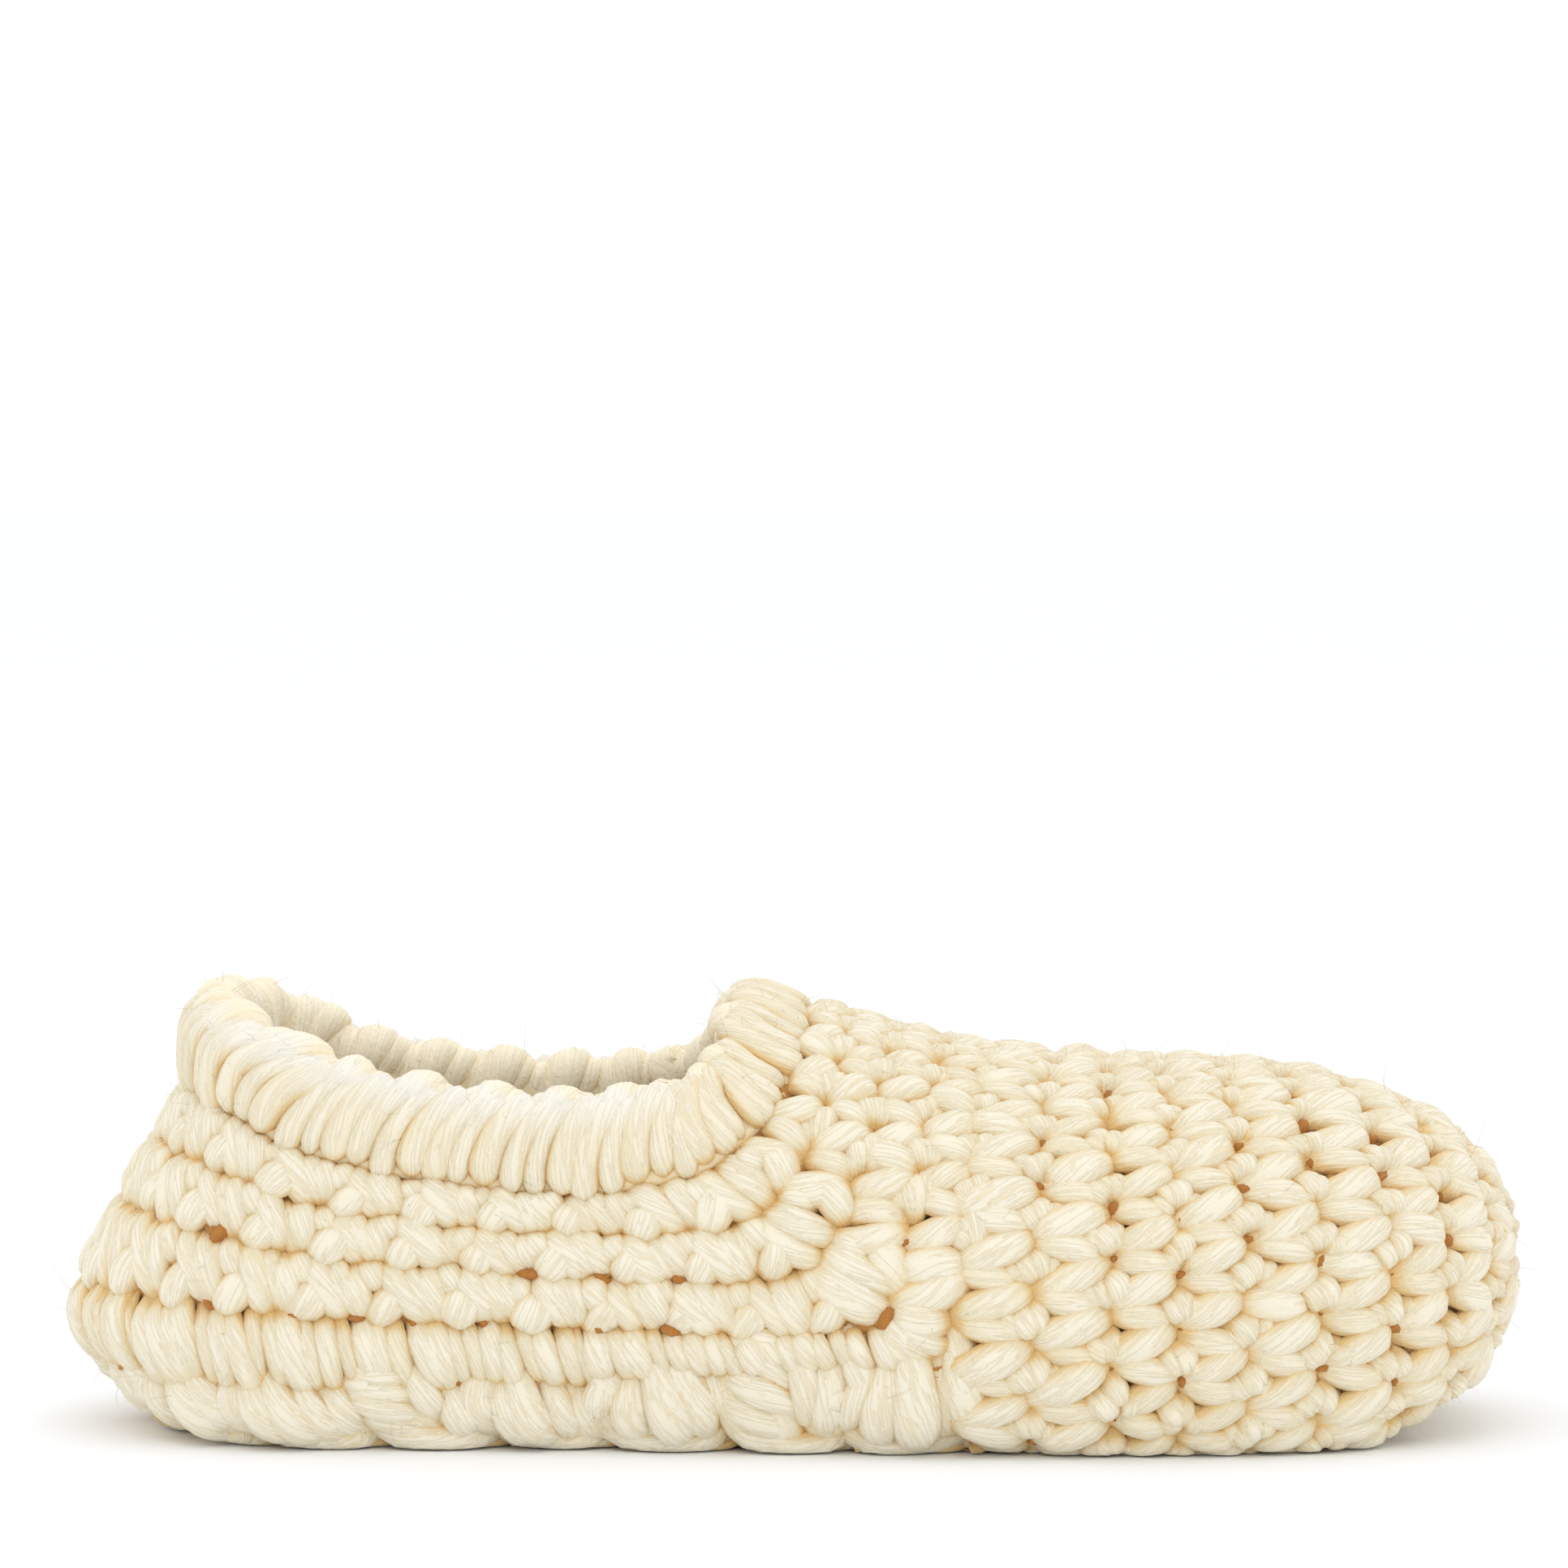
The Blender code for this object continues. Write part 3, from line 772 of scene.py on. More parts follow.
def path_lines(tree, given, place, measure):
    """Curves along the paths, which keep their middle and the distance along them."""
    paths = wired(tree, "GeometryNodeMeshToCurve", {"Mesh": given["Geometry"]})["Curve"]
    inputs = {"Curve": paths, "Normal": read_layer(tree, "outward", "FLOAT_VECTOR")}
    turned = wired(tree, "GeometryNodeSetCurveNormal", inputs, mode="FREE")["Curve"]
    lines = keep_layer(tree, turned, "middle", "FLOAT_VECTOR", place)
    return keep_layer(tree, lines, "along", "FLOAT", measure["Length"])


def flat_oval(tree, given, place, measure):
    """The outline of a strand: a ring that is pressed flat, and keeps the turn of its points."""
    inputs = {"Radius": 1.0, "Resolution": given["Sides"]}
    ring = wired(tree, "GeometryNodeCurvePrimitiveCircle", inputs, mode="RADIUS")["Curve"]
    turn = math_node(tree, "MULTIPLY", measure["Factor"], FULL_TURN)
    oval = keep_layer(tree, ring, "turn", "FLOAT", turn)
    squeeze = wired(tree, "ShaderNodeCombineXYZ", {"X": given["Flatness"], "Y": 1.0, "Z": 1.0})["Vector"]
    inputs = {"Geometry": oval, "Position": vector_node(tree, "MULTIPLY", place, squeeze)}
    return wired(tree, "GeometryNodeSetPosition", inputs)["Geometry"]


def sweep(tree, lines, outline):
    """Tubes with the outline along the lines, as thick as the layer says."""
    thick = read_layer(tree, "thick", "FLOAT")
    inputs = {"Curve": lines, "Profile Curve": outline, "Scale": thick, "Fill Caps": True}
    return wired(tree, "GeometryNodeCurveToMesh", inputs)["Mesh"]


print("first steps", [step.__name__ for step in (path_lines, flat_oval, sweep)])

# %% [markdown]
# The grooves between the plies wind round the strand. A bump in the material could draw them, but it would
# leave the outline smooth, so the points are moved. The layers keep where each point lies on its strand
# and in the wall, because the material can't find that out later.

# %% Plies and layers


def press_plies(tree, given, tubes, twisted):
    """Presses the grooves between the plies into the tubes."""
    phase = math_node(tree, "MULTIPLY_ADD", read_layer(tree, "tone", "FLOAT"), FULL_TURN, twisted)
    groove = math_node(tree, "COSINE", math_node(tree, "MULTIPLY", phase, given["Plies"]))
    depth = math_node(tree, "MULTIPLY", given["Ply Depth"], read_layer(tree, "thick", "FLOAT"))
    normal = new_node(tree, "GeometryNodeInputNormal").outputs["Normal"]
    inputs = {"Vector": normal, "Scale": math_node(tree, "MULTIPLY", groove, depth)}
    push = wired(tree, "ShaderNodeVectorMath", inputs, operation="SCALE")["Vector"]
    return wired(tree, "GeometryNodeSetPosition", {"Geometry": tubes, "Offset": push})["Geometry"]


def leave_layers(tree, strands, place, twisted):
    """Leaves what the wool reads: places along the fibres, height in the wall, and height on the strand."""
    shifted = math_node(tree, "ADD", read_layer(tree, "tone", "FLOAT"), read_layer(tree, "along", "FLOAT"))
    turns = {"X": math_node(tree, "COSINE", twisted), "Y": math_node(tree, "SINE", twisted), "Z": shifted}
    fibre = wired(tree, "ShaderNodeCombineXYZ", turns)["Vector"]
    kept = keep_layer(tree, strands, "fibre", "FLOAT_VECTOR", fibre)
    off_middle = vector_node(tree, "SUBTRACT", place, read_layer(tree, "middle", "FLOAT_VECTOR"))
    risen = vector_node(tree, "DOT_PRODUCT", off_middle, read_layer(tree, "outward", "FLOAT_VECTOR"))
    height = math_node(tree, "SUBTRACT", risen, read_layer(tree, "depth", "FLOAT"))
    kept = keep_layer(tree, kept, "height", "FLOAT", height)
    crown = math_node(tree, "DIVIDE", risen, read_layer(tree, "thick", "FLOAT"))
    return keep_layer(tree, kept, "crown", "FLOAT", crown)


print("later steps", [step.__name__ for step in (press_plies, leave_layers)])

# %% [markdown]
# The steps are joined in one tree, with named inputs for what differs between the pieces. Realizing the
# instances and setting the material come last, so that the result is one plain mesh.

# %% The yarn tree


def yarn_tree():
    """The whole tree, from paths to yarn."""
    tree = bpy.data.node_groups.new("yarn_on_paths", "GeometryNodeTree")
    add_sockets(tree, "INPUT", "NodeSocketGeometry", ("Geometry",))
    add_sockets(tree, "INPUT", "NodeSocketInt", ("Sides",))
    add_sockets(tree, "INPUT", "NodeSocketFloat", ("Flatness", "Plies", "Ply Depth", "Twist"))
    add_sockets(tree, "INPUT", "NodeSocketMaterial", ("Wool",))
    add_sockets(tree, "OUTPUT", "NodeSocketGeometry", ("Geometry",))
    given = new_node(tree, "NodeGroupInput").outputs
    place = new_node(tree, "GeometryNodeInputPosition").outputs["Position"]
    measure = new_node(tree, "GeometryNodeSplineParameter").outputs
    lines = path_lines(tree, given, place, measure)
    tubes = sweep(tree, lines, flat_oval(tree, given, place, measure))
    along = read_layer(tree, "along", "FLOAT")
    twisted = math_node(tree, "MULTIPLY_ADD", along, given["Twist"], read_layer(tree, "turn", "FLOAT"))
    strands = leave_layers(tree, press_plies(tree, given, tubes, twisted), place, twisted)
    smooth = wired(tree, "GeometryNodeSetShadeSmooth", {"Geometry": strands})["Geometry"]
    real = wired(tree, "GeometryNodeRealizeInstances", {"Geometry": smooth})["Geometry"]
    inputs = {"Geometry": real, "Material": given["Wool"]}
    wired(tree, "NodeGroupOutput", {"Geometry": wired(tree, "GeometryNodeSetMaterial", inputs)["Geometry"]})
    return tree


YARN_TREE = yarn_tree()
print("nodes in the yarn tree", len(YARN_TREE.nodes))

# %% [markdown]
# A piece starts as an object that holds only paths. The tree runs on it as a modifier, the result is
# copied to a plain mesh, and the paths are thrown away. The modifier could stay, but the next steps change
# and read the finished mesh. Strands that would sink into the floor are pressed flat with a soft limit,
# so that crossing strands never end up in one plane.

# %% From paths to a mesh
# Lengths for the floor are in metres, as the mesh is.
FLOOR_CLEAR = 0.00005
FLOOR_SOFTNESS = 0.0012
X_AXIS, Y_AXIS, Z_AXIS = range(3)


def set_inputs(modifier, values):
    """Sets a Geometry Nodes modifier's inputs by their names, through their identifiers."""
    for item in modifier.node_group.interface.items_tree:
        if item.in_out == "INPUT" and item.name in values:
            modifier[item.identifier] = values[item.name]


def plain_piece(made, name):
    """The evaluated result of an object as a plain mesh object of its own."""
    graph = bpy.context.evaluated_depsgraph_get()
    mesh = bpy.data.meshes.new_from_object(made.evaluated_get(graph))
    source = made.data
    bpy.data.objects.remove(made)
    bpy.data.meshes.remove(source)
    mesh.name = name
    return add_object(name, mesh)


def vectors(items, key):
    """A vector of each item of a mesh, as the rows of an array."""
    flat = np.empty(len(items) * 3, np.float32)
    items.foreach_get(key, flat)
    return flat.reshape(-1, 3)


def press_on_floor(mesh):
    """Flattens what would sink into the floor, and keeps lower strands lower so that no faces coincide."""
    places = vectors(mesh.vertices, "co")
    heights = places[:, Z_AXIS] - FLOOR_CLEAR
    pressed = FLOOR_SOFTNESS * np.exp(np.minimum(heights / FLOOR_SOFTNESS - 1.0, 0.0))
    places[:, Z_AXIS] = FLOOR_CLEAR + np.where(heights < FLOOR_SOFTNESS, pressed, heights)
    mesh.vertices.foreach_set("co", places.ravel())
    mesh.update()


print("strands are pressed within", round(FLOOR_SOFTNESS / MM, 1), "mm of the floor")

# %% [markdown]
# A finished piece rides on the shoe's only body and stands for the solid that it dresses. Each strand
# could be an object, but thousands of them would be slow, so a piece is one mesh.

# %% Pieces of yarn
YARN_LOOK = {"Sides": 10, "Flatness": 0.86, "Plies": 3.0, "Ply Depth": 0.045, "Twist": 90.0}


def give(piece, node):
    """Lets a piece ride on the shoe and stand for a node of it."""
    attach(piece, "root")
    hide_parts(node)


def yarn_piece(name, yarn, wool, node, changes=None):
    """Sweeps the strands of a piece and hands it to the body of the shoe."""
    made = add_object(name + "_paths", yarn.mesh(name + "_paths"))
    modifier = made.modifiers.new("yarn", "NODES")
    modifier.node_group = YARN_TREE
    set_inputs(modifier, YARN_LOOK | (changes or {}) | {"Wool": wool})
    piece = plain_piece(made, name)
    press_on_floor(piece.data)
    give(piece, node)
    print(name, len(piece.data.polygons), "faces")


print("usual strand", YARN_LOOK)

# %% [markdown]
# ## Wool
#
# The wool is matt and softly fuzzy, with fine fibres along each strand. Light that falls between strands
# bounces from wool to wool and turns warm, so the crevices are tan and the deepest holes orange brown.
# The bounced light of a render alone gives too little of this warmth, so each depth has its own colour.

# %% Wool colours
# CREAM is the wool's own colour. PALE_CREAM is a painted highlight on the crests, and BORDER, HOLE and PIT
# are painted shade, darker the deeper the wool lies.
CREAM = (0.85, 0.775, 0.585, 1.0)
PALE_CREAM = (0.885, 0.825, 0.67, 1.0)
BORDER = (0.80, 0.57, 0.26, 1.0)
HOLE = (0.60, 0.32, 0.10, 1.0)
PIT = (0.50, 0.21, 0.05, 1.0)
# The painted highlight on the lit top of the roll.
HIGHLIGHT_COLOUR = (0.90, 0.865, 0.77, 1.0)
# The beads' colours are painted paler: painted light for the beads in the shade inside the roll.
ROLL_CREST = (0.96, 0.89, 0.72, 1.0)
ROLL_BODY = (0.95, 0.87, 0.68, 1.0)
ROLL_BORDER = (0.95, 0.83, 0.60, 1.0)
# Heights over the surface of the last are in metres, so holes are below 0.
PIT_LOW = -0.0080
PIT_HIGH = -0.0046
HOLE_LOW = -0.0042
HOLE_HIGH = -0.0017
BORDER_LOW = -0.0014
BORDER_HIGH = 0.0001
CREST_HIGH = 0.0010
print("heights from border to crest", BORDER_LOW / MM, CREST_HIGH / MM, "mm")

# %% [markdown]
# A group of nodes is made once and used by every wool. Cut hairs all over would be softer still, but
# far too many. So the group makes the colour and the relief from the layers that the yarn tree left on
# the mesh: a noise that is stretched along the strand draws the fibres, and a very fine one in Object
# coordinates is the fuzz.

# %% Noises and steps of the wool
FIBRE_STRETCH = 22.0
FIBRE_DETAIL = 3.0
FUZZ_SCALE = 1300.0


def step_node(tree, value, low, high):
    """A smooth step of a value from 0 at low to 1 at high."""
    inputs = {"Value": value, "From Min": low, "From Max": high}
    return wired(tree, "ShaderNodeMapRange", inputs, interpolation_type="SMOOTHSTEP")["Result"]


def weight_node(tree, value, weight):
    """A value from 0 to 1 as a factor that takes away at most a weight."""
    return math_node(tree, "MULTIPLY_ADD", value, weight, 1.0 - weight)


def mix_colour(tree, share, first, second):
    """A blend of two colours by a share."""
    inputs = {"Factor": share, "A": first, "B": second}
    return wired(tree, "ShaderNodeMix", inputs, data_type="RGBA")["Result"]


def yarn_layer(tree, key, output):
    """A socket that reads a layer of the yarn in a shader."""
    return new_node(tree, "ShaderNodeAttribute", attribute_name=key).outputs[output]


def fibre_noise(tree, scale):
    """A noise that is stretched along the strand."""
    fibre = yarn_layer(tree, "fibre", "Vector")
    stretched = vector_node(tree, "MULTIPLY", fibre, (1.0, 1.0, FIBRE_STRETCH))
    inputs = {"Vector": stretched, "Scale": scale, "Detail": FIBRE_DETAIL}
    return wired(tree, "ShaderNodeTexNoise", inputs)["Fac"]


def fuzz_noise(tree):
    """A fine noise in the coordinates of the shoe."""
    place = new_node(tree, "ShaderNodeTexCoord").outputs["Object"]
    return wired(tree, "ShaderNodeTexNoise", {"Vector": place, "Scale": FUZZ_SCALE})["Fac"]


print("the fibre noise is stretched", FIBRE_STRETCH, "times")

# %% [markdown]
# The group mixes the colours by height, from the pits up to the crests: painted shade down deep, and a
# painted highlight on the crests. It paints shade on the flanks of a strand too, and makes the lines
# between its fibres and the gaps in its fuzz a little darker. One colour with dark crevices would be
# shorter, but the bounced light has another hue at every depth.

# %% Wool node group
LINE_AT = 0.5
LINE_WIDTH = 0.06
LINE_WEIGHT = 0.16
LINE_RELIEF = 0.4
FUZZ_RELIEF = 1.1
FUZZ_LOW = 0.3
FUZZ_HIGH = 0.62
FUZZ_WEIGHT = 0.16
# The flanks of a strand get painted shade.
FLANK_LOW = 0.05
FLANK_HIGH = 0.66
FLANK_WEIGHT = 0.75


def wool_colour(tree, given, clear, fuzz):
    """Colour by height with painted shade and highlight, painted shade on the flanks, darker in fibre lines
    and between the fuzz.
    """
    height = yarn_layer(tree, "height", "Fac")
    crown = yarn_layer(tree, "crown", "Fac")
    line = weight_node(tree, clear, LINE_WEIGHT)
    nap = weight_node(tree, step_node(tree, fuzz, FUZZ_LOW, FUZZ_HIGH), FUZZ_WEIGHT)
    line = math_node(tree, "MULTIPLY", line, nap)
    flank = weight_node(tree, step_node(tree, crown, FLANK_LOW, FLANK_HIGH), FLANK_WEIGHT)
    risen = math_node(tree, "MULTIPLY", step_node(tree, height, BORDER_LOW, BORDER_HIGH), line)
    risen = math_node(tree, "MULTIPLY", risen, flank)
    deepest = mix_colour(tree, step_node(tree, height, PIT_LOW, PIT_HIGH), given["Pit"], given["Hole"])
    deep = mix_colour(tree, step_node(tree, height, HOLE_LOW, HOLE_HIGH), deepest, given["Border"])
    low = mix_colour(tree, risen, deep, given["Body"])
    # A painted highlight on the crests.
    pale = math_node(tree, "MULTIPLY", step_node(tree, height, BORDER_HIGH, CREST_HIGH), clear)
    wool = mix_colour(tree, pale, low, given["Crest"])
    # The lit top of the roll gets a painted highlight.
    return mix_colour(tree, yarn_layer(tree, "painted_highlight", "Fac"), wool, given["Painted Highlight"])


def wool_group():
    """Colour, with painted shade and highlights, and fibre relief of a strand of wool."""
    tree = bpy.data.node_groups.new("wool_fibres", "ShaderNodeTree")
    colours = ("Crest", "Body", "Border", "Hole", "Pit", "Painted Highlight")
    add_sockets(tree, "INPUT", "NodeSocketColor", colours)
    add_sockets(tree, "INPUT", "NodeSocketFloat", ("Fibre Scale",))
    add_sockets(tree, "OUTPUT", "NodeSocketColor", ("Colour",))
    add_sockets(tree, "OUTPUT", "NodeSocketFloat", ("Relief",))
    given = new_node(tree, "NodeGroupInput").outputs
    fine = fibre_noise(tree, given["Fibre Scale"])
    fuzz = fuzz_noise(tree)
    astray = math_node(tree, "ABSOLUTE", math_node(tree, "SUBTRACT", fine, LINE_AT))
    clear = step_node(tree, astray, 0.0, LINE_WIDTH)
    relief = math_node(tree, "MULTIPLY_ADD", clear, LINE_RELIEF, fine)
    relief = math_node(tree, "MULTIPLY_ADD", fuzz, FUZZ_RELIEF, relief)
    wired(tree, "NodeGroupOutput", {"Relief": relief, "Colour": wool_colour(tree, given, clear, fuzz)})
    return tree


WOOL_GROUP = wool_group()
print("nodes in the wool group", len(WOOL_GROUP.nodes))

# %% [markdown]
# The shoe is of one wool, but each slot has a material of its own, and the beads on the collar are
# painted paler, a painted light that keeps the beads inside the roll, in its shade, as bright as the lit
# wraps. The relief goes through a Bump node. Displacement would move the skin itself, but it needs far
# finer meshes.

# %% Wool materials
WOOL_LOOK = {"Hole": HOLE, "Pit": PIT, "Painted Highlight": HIGHLIGHT_COLOUR, "Fibre Scale": 3.2}
BUMP_STRENGTH = 0.6
# The height of the bump is in metres.
BUMP_DISTANCE = 0.00035
WOOL_SHEEN = {
    "Roughness": 0.9,
    "Specular IOR Level": 0.1,
    "Sheen Weight": 0.2,
    "Sheen Roughness": 0.5,
    "Sheen Tint": (1.0, 0.97, 0.9, 1.0),
}


def wool_material(name, crest, body, border):
    """A wool with its own crest, body and border colours."""
    material = bpy.data.materials.new(name)
    material.use_nodes = True
    tree = material.node_tree
    shader = tree.nodes["Principled BSDF"]
    set_values(shader, WOOL_SHEEN)
    inputs = WOOL_LOOK | {"Crest": crest, "Body": body, "Border": border}
    look = wired(tree, "ShaderNodeGroup", inputs, node_tree=WOOL_GROUP)
    tree.links.new(look["Colour"], shader.inputs["Base Color"])
    inputs = {"Strength": BUMP_STRENGTH, "Distance": BUMP_DISTANCE, "Height": look["Relief"]}
    tree.links.new(wired(tree, "ShaderNodeBump", inputs)["Normal"], shader.inputs["Normal"])
    return material


UPPER_WOOL = wool_material("upper_wool", PALE_CREAM, CREAM, BORDER)
SOLE_WOOL = wool_material("sole_wool", PALE_CREAM, CREAM, BORDER)
COLLAR_WOOL = wool_material("collar_wool", PALE_CREAM, CREAM, BORDER)
BEAD_WOOL = wool_material("bead_wool", ROLL_CREST, ROLL_BODY, ROLL_BORDER)
print("wool", [wool.name for wool in (UPPER_WOOL, SOLE_WOOL, COLLAR_WOOL, BEAD_WOOL)])

# %% [markdown]
# ## One stitch
#
# Seen from outside, a stitch of the toe cup is two legs and a fan. A straight leg and a slanted leg make
# a V whose tip tucks into a small hole, and a fan of four thinner strands bends over the hole from the
# other side. The charts give each lobe of yarn as a few rows: how far it is across the round, how far
# along it in stitches, how deep its middle lies under the crests, and its half thickness, both in
# millimetres. They are read from the photo, as a pattern for crochet is. The whole path of the
# yarn through its knots could be modelled too, but only these lobes show.

# %% Charts of the toe stitch
ACROSS, ALONG, DEPTH, THICK = range(4)
TOE_SLANT = (
    (-0.10, 0.05, 4.2, 2.4),
    (0.08, 0.13, 2.6, 2.9),
    (0.34, 0.27, 1.7, 3.2),
    (0.62, 0.44, 1.6, 3.2),
    (0.86, 0.57, 2.4, 2.8),
    (1.03, 0.64, 4.2, 2.2),
)
TOE_LEG = (
    (-0.09, 1.05, 4.2, 2.3),
    (0.10, 0.99, 2.5, 2.8),
    (0.33, 0.92, 1.7, 2.9),
    (0.57, 0.84, 1.6, 2.9),
    (0.80, 0.76, 2.5, 2.6),
    (0.99, 0.70, 4.2, 2.1),
)
TOE_FAN_LEFT = (
    (1.00, 0.66, 4.4, 1.2),
    (0.90, 0.80, 2.2, 1.8),
    (0.79, 0.94, 1.5, 2.1),
    (0.67, 1.07, 1.8, 2.0),
    (0.56, 1.18, 3.6, 1.7),
)
TOE_FAN_MIDDLE = (
    (1.02, 0.66, 4.4, 1.2),
    (0.97, 0.84, 2.0, 1.9),
    (0.90, 1.03, 1.3, 2.3),
    (0.83, 1.21, 1.6, 2.2),
    (0.76, 1.36, 3.6, 1.8),
)
TOE_FAN_TOP = (
    (1.05, 0.66, 4.4, 1.2),
    (1.06, 0.86, 2.0, 1.9),
    (1.05, 1.08, 1.3, 2.3),
    (1.01, 1.28, 1.6, 2.2),
    (0.96, 1.44, 3.6, 1.8),
)
TOE_FAN_RIGHT = (
    (1.07, 0.66, 4.4, 1.2),
    (1.14, 0.82, 2.2, 1.8),
    (1.20, 0.99, 1.6, 2.1),
    (1.22, 1.15, 1.9, 2.0),
    (1.20, 1.28, 3.6, 1.7),
)
LEG_CHARTS = (TOE_SLANT, TOE_LEG)
FAN_CHARTS = (TOE_FAN_LEFT, TOE_FAN_MIDDLE, TOE_FAN_TOP, TOE_FAN_RIGHT)
print("lobes in a toe stitch", len(LEG_CHARTS + FAN_CHARTS))

# %% [markdown]
# Along the sides a stitch is wide and short: four legs lie side by side, and one strand crosses their
# ends. The toe stitch could be pulled wider instead, but the photo shows more legs and no V, so the
# side stitch has charts of its own. The last chart is a leg of the lowest round.

# %% Charts of the side stitch
SIDE_FIRST = (
    (-0.04, 0.02, 3.8, 2.0),
    (0.14, 0.12, 1.9, 2.6),
    (0.40, 0.26, 1.4, 2.9),
    (0.66, 0.41, 1.4, 2.8),
    (0.92, 0.56, 2.1, 2.4),
    (1.12, 0.66, 4.2, 1.7),
)
SIDE_SECOND = (
    (-0.04, 0.32, 3.8, 1.8),
    (0.14, 0.40, 1.7, 2.2),
    (0.40, 0.51, 1.1, 2.4),
    (0.66, 0.62, 1.2, 2.3),
    (0.92, 0.72, 2.1, 2.0),
    (1.12, 0.78, 4.2, 1.5),
)
SIDE_THIRD = (
    (-0.04, 0.57, 3.8, 1.9),
    (0.13, 0.63, 1.7, 2.3),
    (0.40, 0.71, 1.1, 2.5),
    (0.66, 0.79, 1.4, 2.3),
    (0.90, 0.84, 2.4, 1.9),
    (1.08, 0.86, 4.4, 1.5),
)
SIDE_SHORT = (
    (-0.04, 0.83, 3.8, 1.9),
    (0.12, 0.87, 1.7, 2.4),
    (0.32, 0.94, 1.3, 2.5),
    (0.52, 1.00, 2.3, 2.2),
    (0.66, 1.03, 4.4, 1.6),
)
SIDE_FAN = (
    (0.36, 1.32, 4.4, 2.1),
    (0.50, 1.26, 2.2, 2.9),
    (0.68, 1.16, 1.5, 3.3),
    (0.88, 1.04, 1.7, 3.1),
    (1.06, 0.94, 2.9, 2.5),
    (1.16, 0.88, 4.8, 1.7),
)
LOW_LEG = (
    (-0.06, -0.10, 4.0, 1.6),
    (0.12, -0.04, 1.7, 2.1),
    (0.40, 0.05, 1.0, 2.3),
    (0.66, 0.13, 1.2, 2.2),
    (0.90, 0.20, 2.2, 1.9),
    (1.10, 0.24, 4.4, 1.5),
)
SIDE_CHARTS = (SIDE_FIRST, SIDE_SECOND, SIDE_THIRD, SIDE_SHORT, SIDE_FAN)
print("lobes in a side stitch", len(SIDE_CHARTS))

# %% [markdown]
# A chart is turned into a smooth lobe with evenly spread points once, and every stitch then copies it.
# The few rows of a chart could be swept as they are, but they would show as corners. The lowest round of
# the sides shows only legs, of uneven thickness. On the flat rows of the sole one fan strand is enough,
# and the stitch is moved back by half, so that its lobes fill the row from end to end.

# %% Drawn stitches
SEED = 11
DISORDER = np.random.RandomState(SEED)
LEG_DISORDER = 0.18
LEGS_A_STITCH = 4
LOBE_POINTS = 10
HALF_BACK = np.array((0.0, -0.5, 0.0, 0.0))


def drawn_out(chart, count=LOBE_POINTS):
    """A chart's lobe as a smooth path of evenly spread rows."""
    chart = np.asarray(chart)
    at = path_lengths(chart[:, :2])
    steps = np.linspace(0.0, at[-1], count)
    columns = [[smooth_curve(step, at, chart[:, k]) for step in steps] for k in range(chart.shape[1])]
    return np.array(columns).T


def drawn_stitch(stitch):
    """Every lobe of a stitch, drawn out."""
    return np.array([drawn_out(lobe) for lobe in stitch])


def leg_stitch():
    """Legs side by side, as wide as one stitch."""
    leg = drawn_out(LOW_LEG)
    shifts = [np.array((0.0, i / LEGS_A_STITCH, 0.0, 0.0)) for i in range(LEGS_A_STITCH)]
    return np.array([leg + shift for shift in shifts])


def uneven(lobes):
    """Lobes of uneven thickness."""
    changed = lobes.copy()
    changed[:, :, THICK] *= 1.0 + DISORDER.normal(0.0, LEG_DISORDER, (len(lobes), 1))
    return changed


TOE_LEGS = drawn_stitch(LEG_CHARTS)
TOE_FANS = drawn_stitch(FAN_CHARTS)
SIDE_LOBES = drawn_stitch(SIDE_CHARTS)
LOW_LOBES = leg_stitch()
FLAT_LOBES = drawn_stitch((*LEG_CHARTS, TOE_FAN_TOP)) + HALF_BACK
VAMP_LOBES = np.concatenate([TOE_LEGS, TOE_FANS])
print("points in a toe stitch", VAMP_LOBES[:, :, ACROSS].size)

# %% [markdown]
# ## Placing stitches on a round
#
# Between two borders a round holds as many stitches as fit at their usual width. Each stitch keeps square
# to the round, so it looks for the nearest place on either border. A parabola through both borders and
# the middle then carries its lobes. They could be projected on the shoe instead, but this follows every
# bend of the last without a second mesh.

# %% Rounds of stitches
LEAST_STITCHES = 3
HALF = 0.5


def running_total(distance, density):
    """Running total of a density along a line."""
    steps = np.diff(distance) * (density[1:] + density[:-1]) / 2.0
    return np.concatenate([[0.0], np.cumsum(steps)])


def even_width(width):
    """A function that gives the same stitch width at every point."""
    return lambda points: np.full(len(points), width)


def round_lines(rows, k):
    """The first border, the middle and the last border of a round."""
    return rows[2 * k : 2 * k + 3]


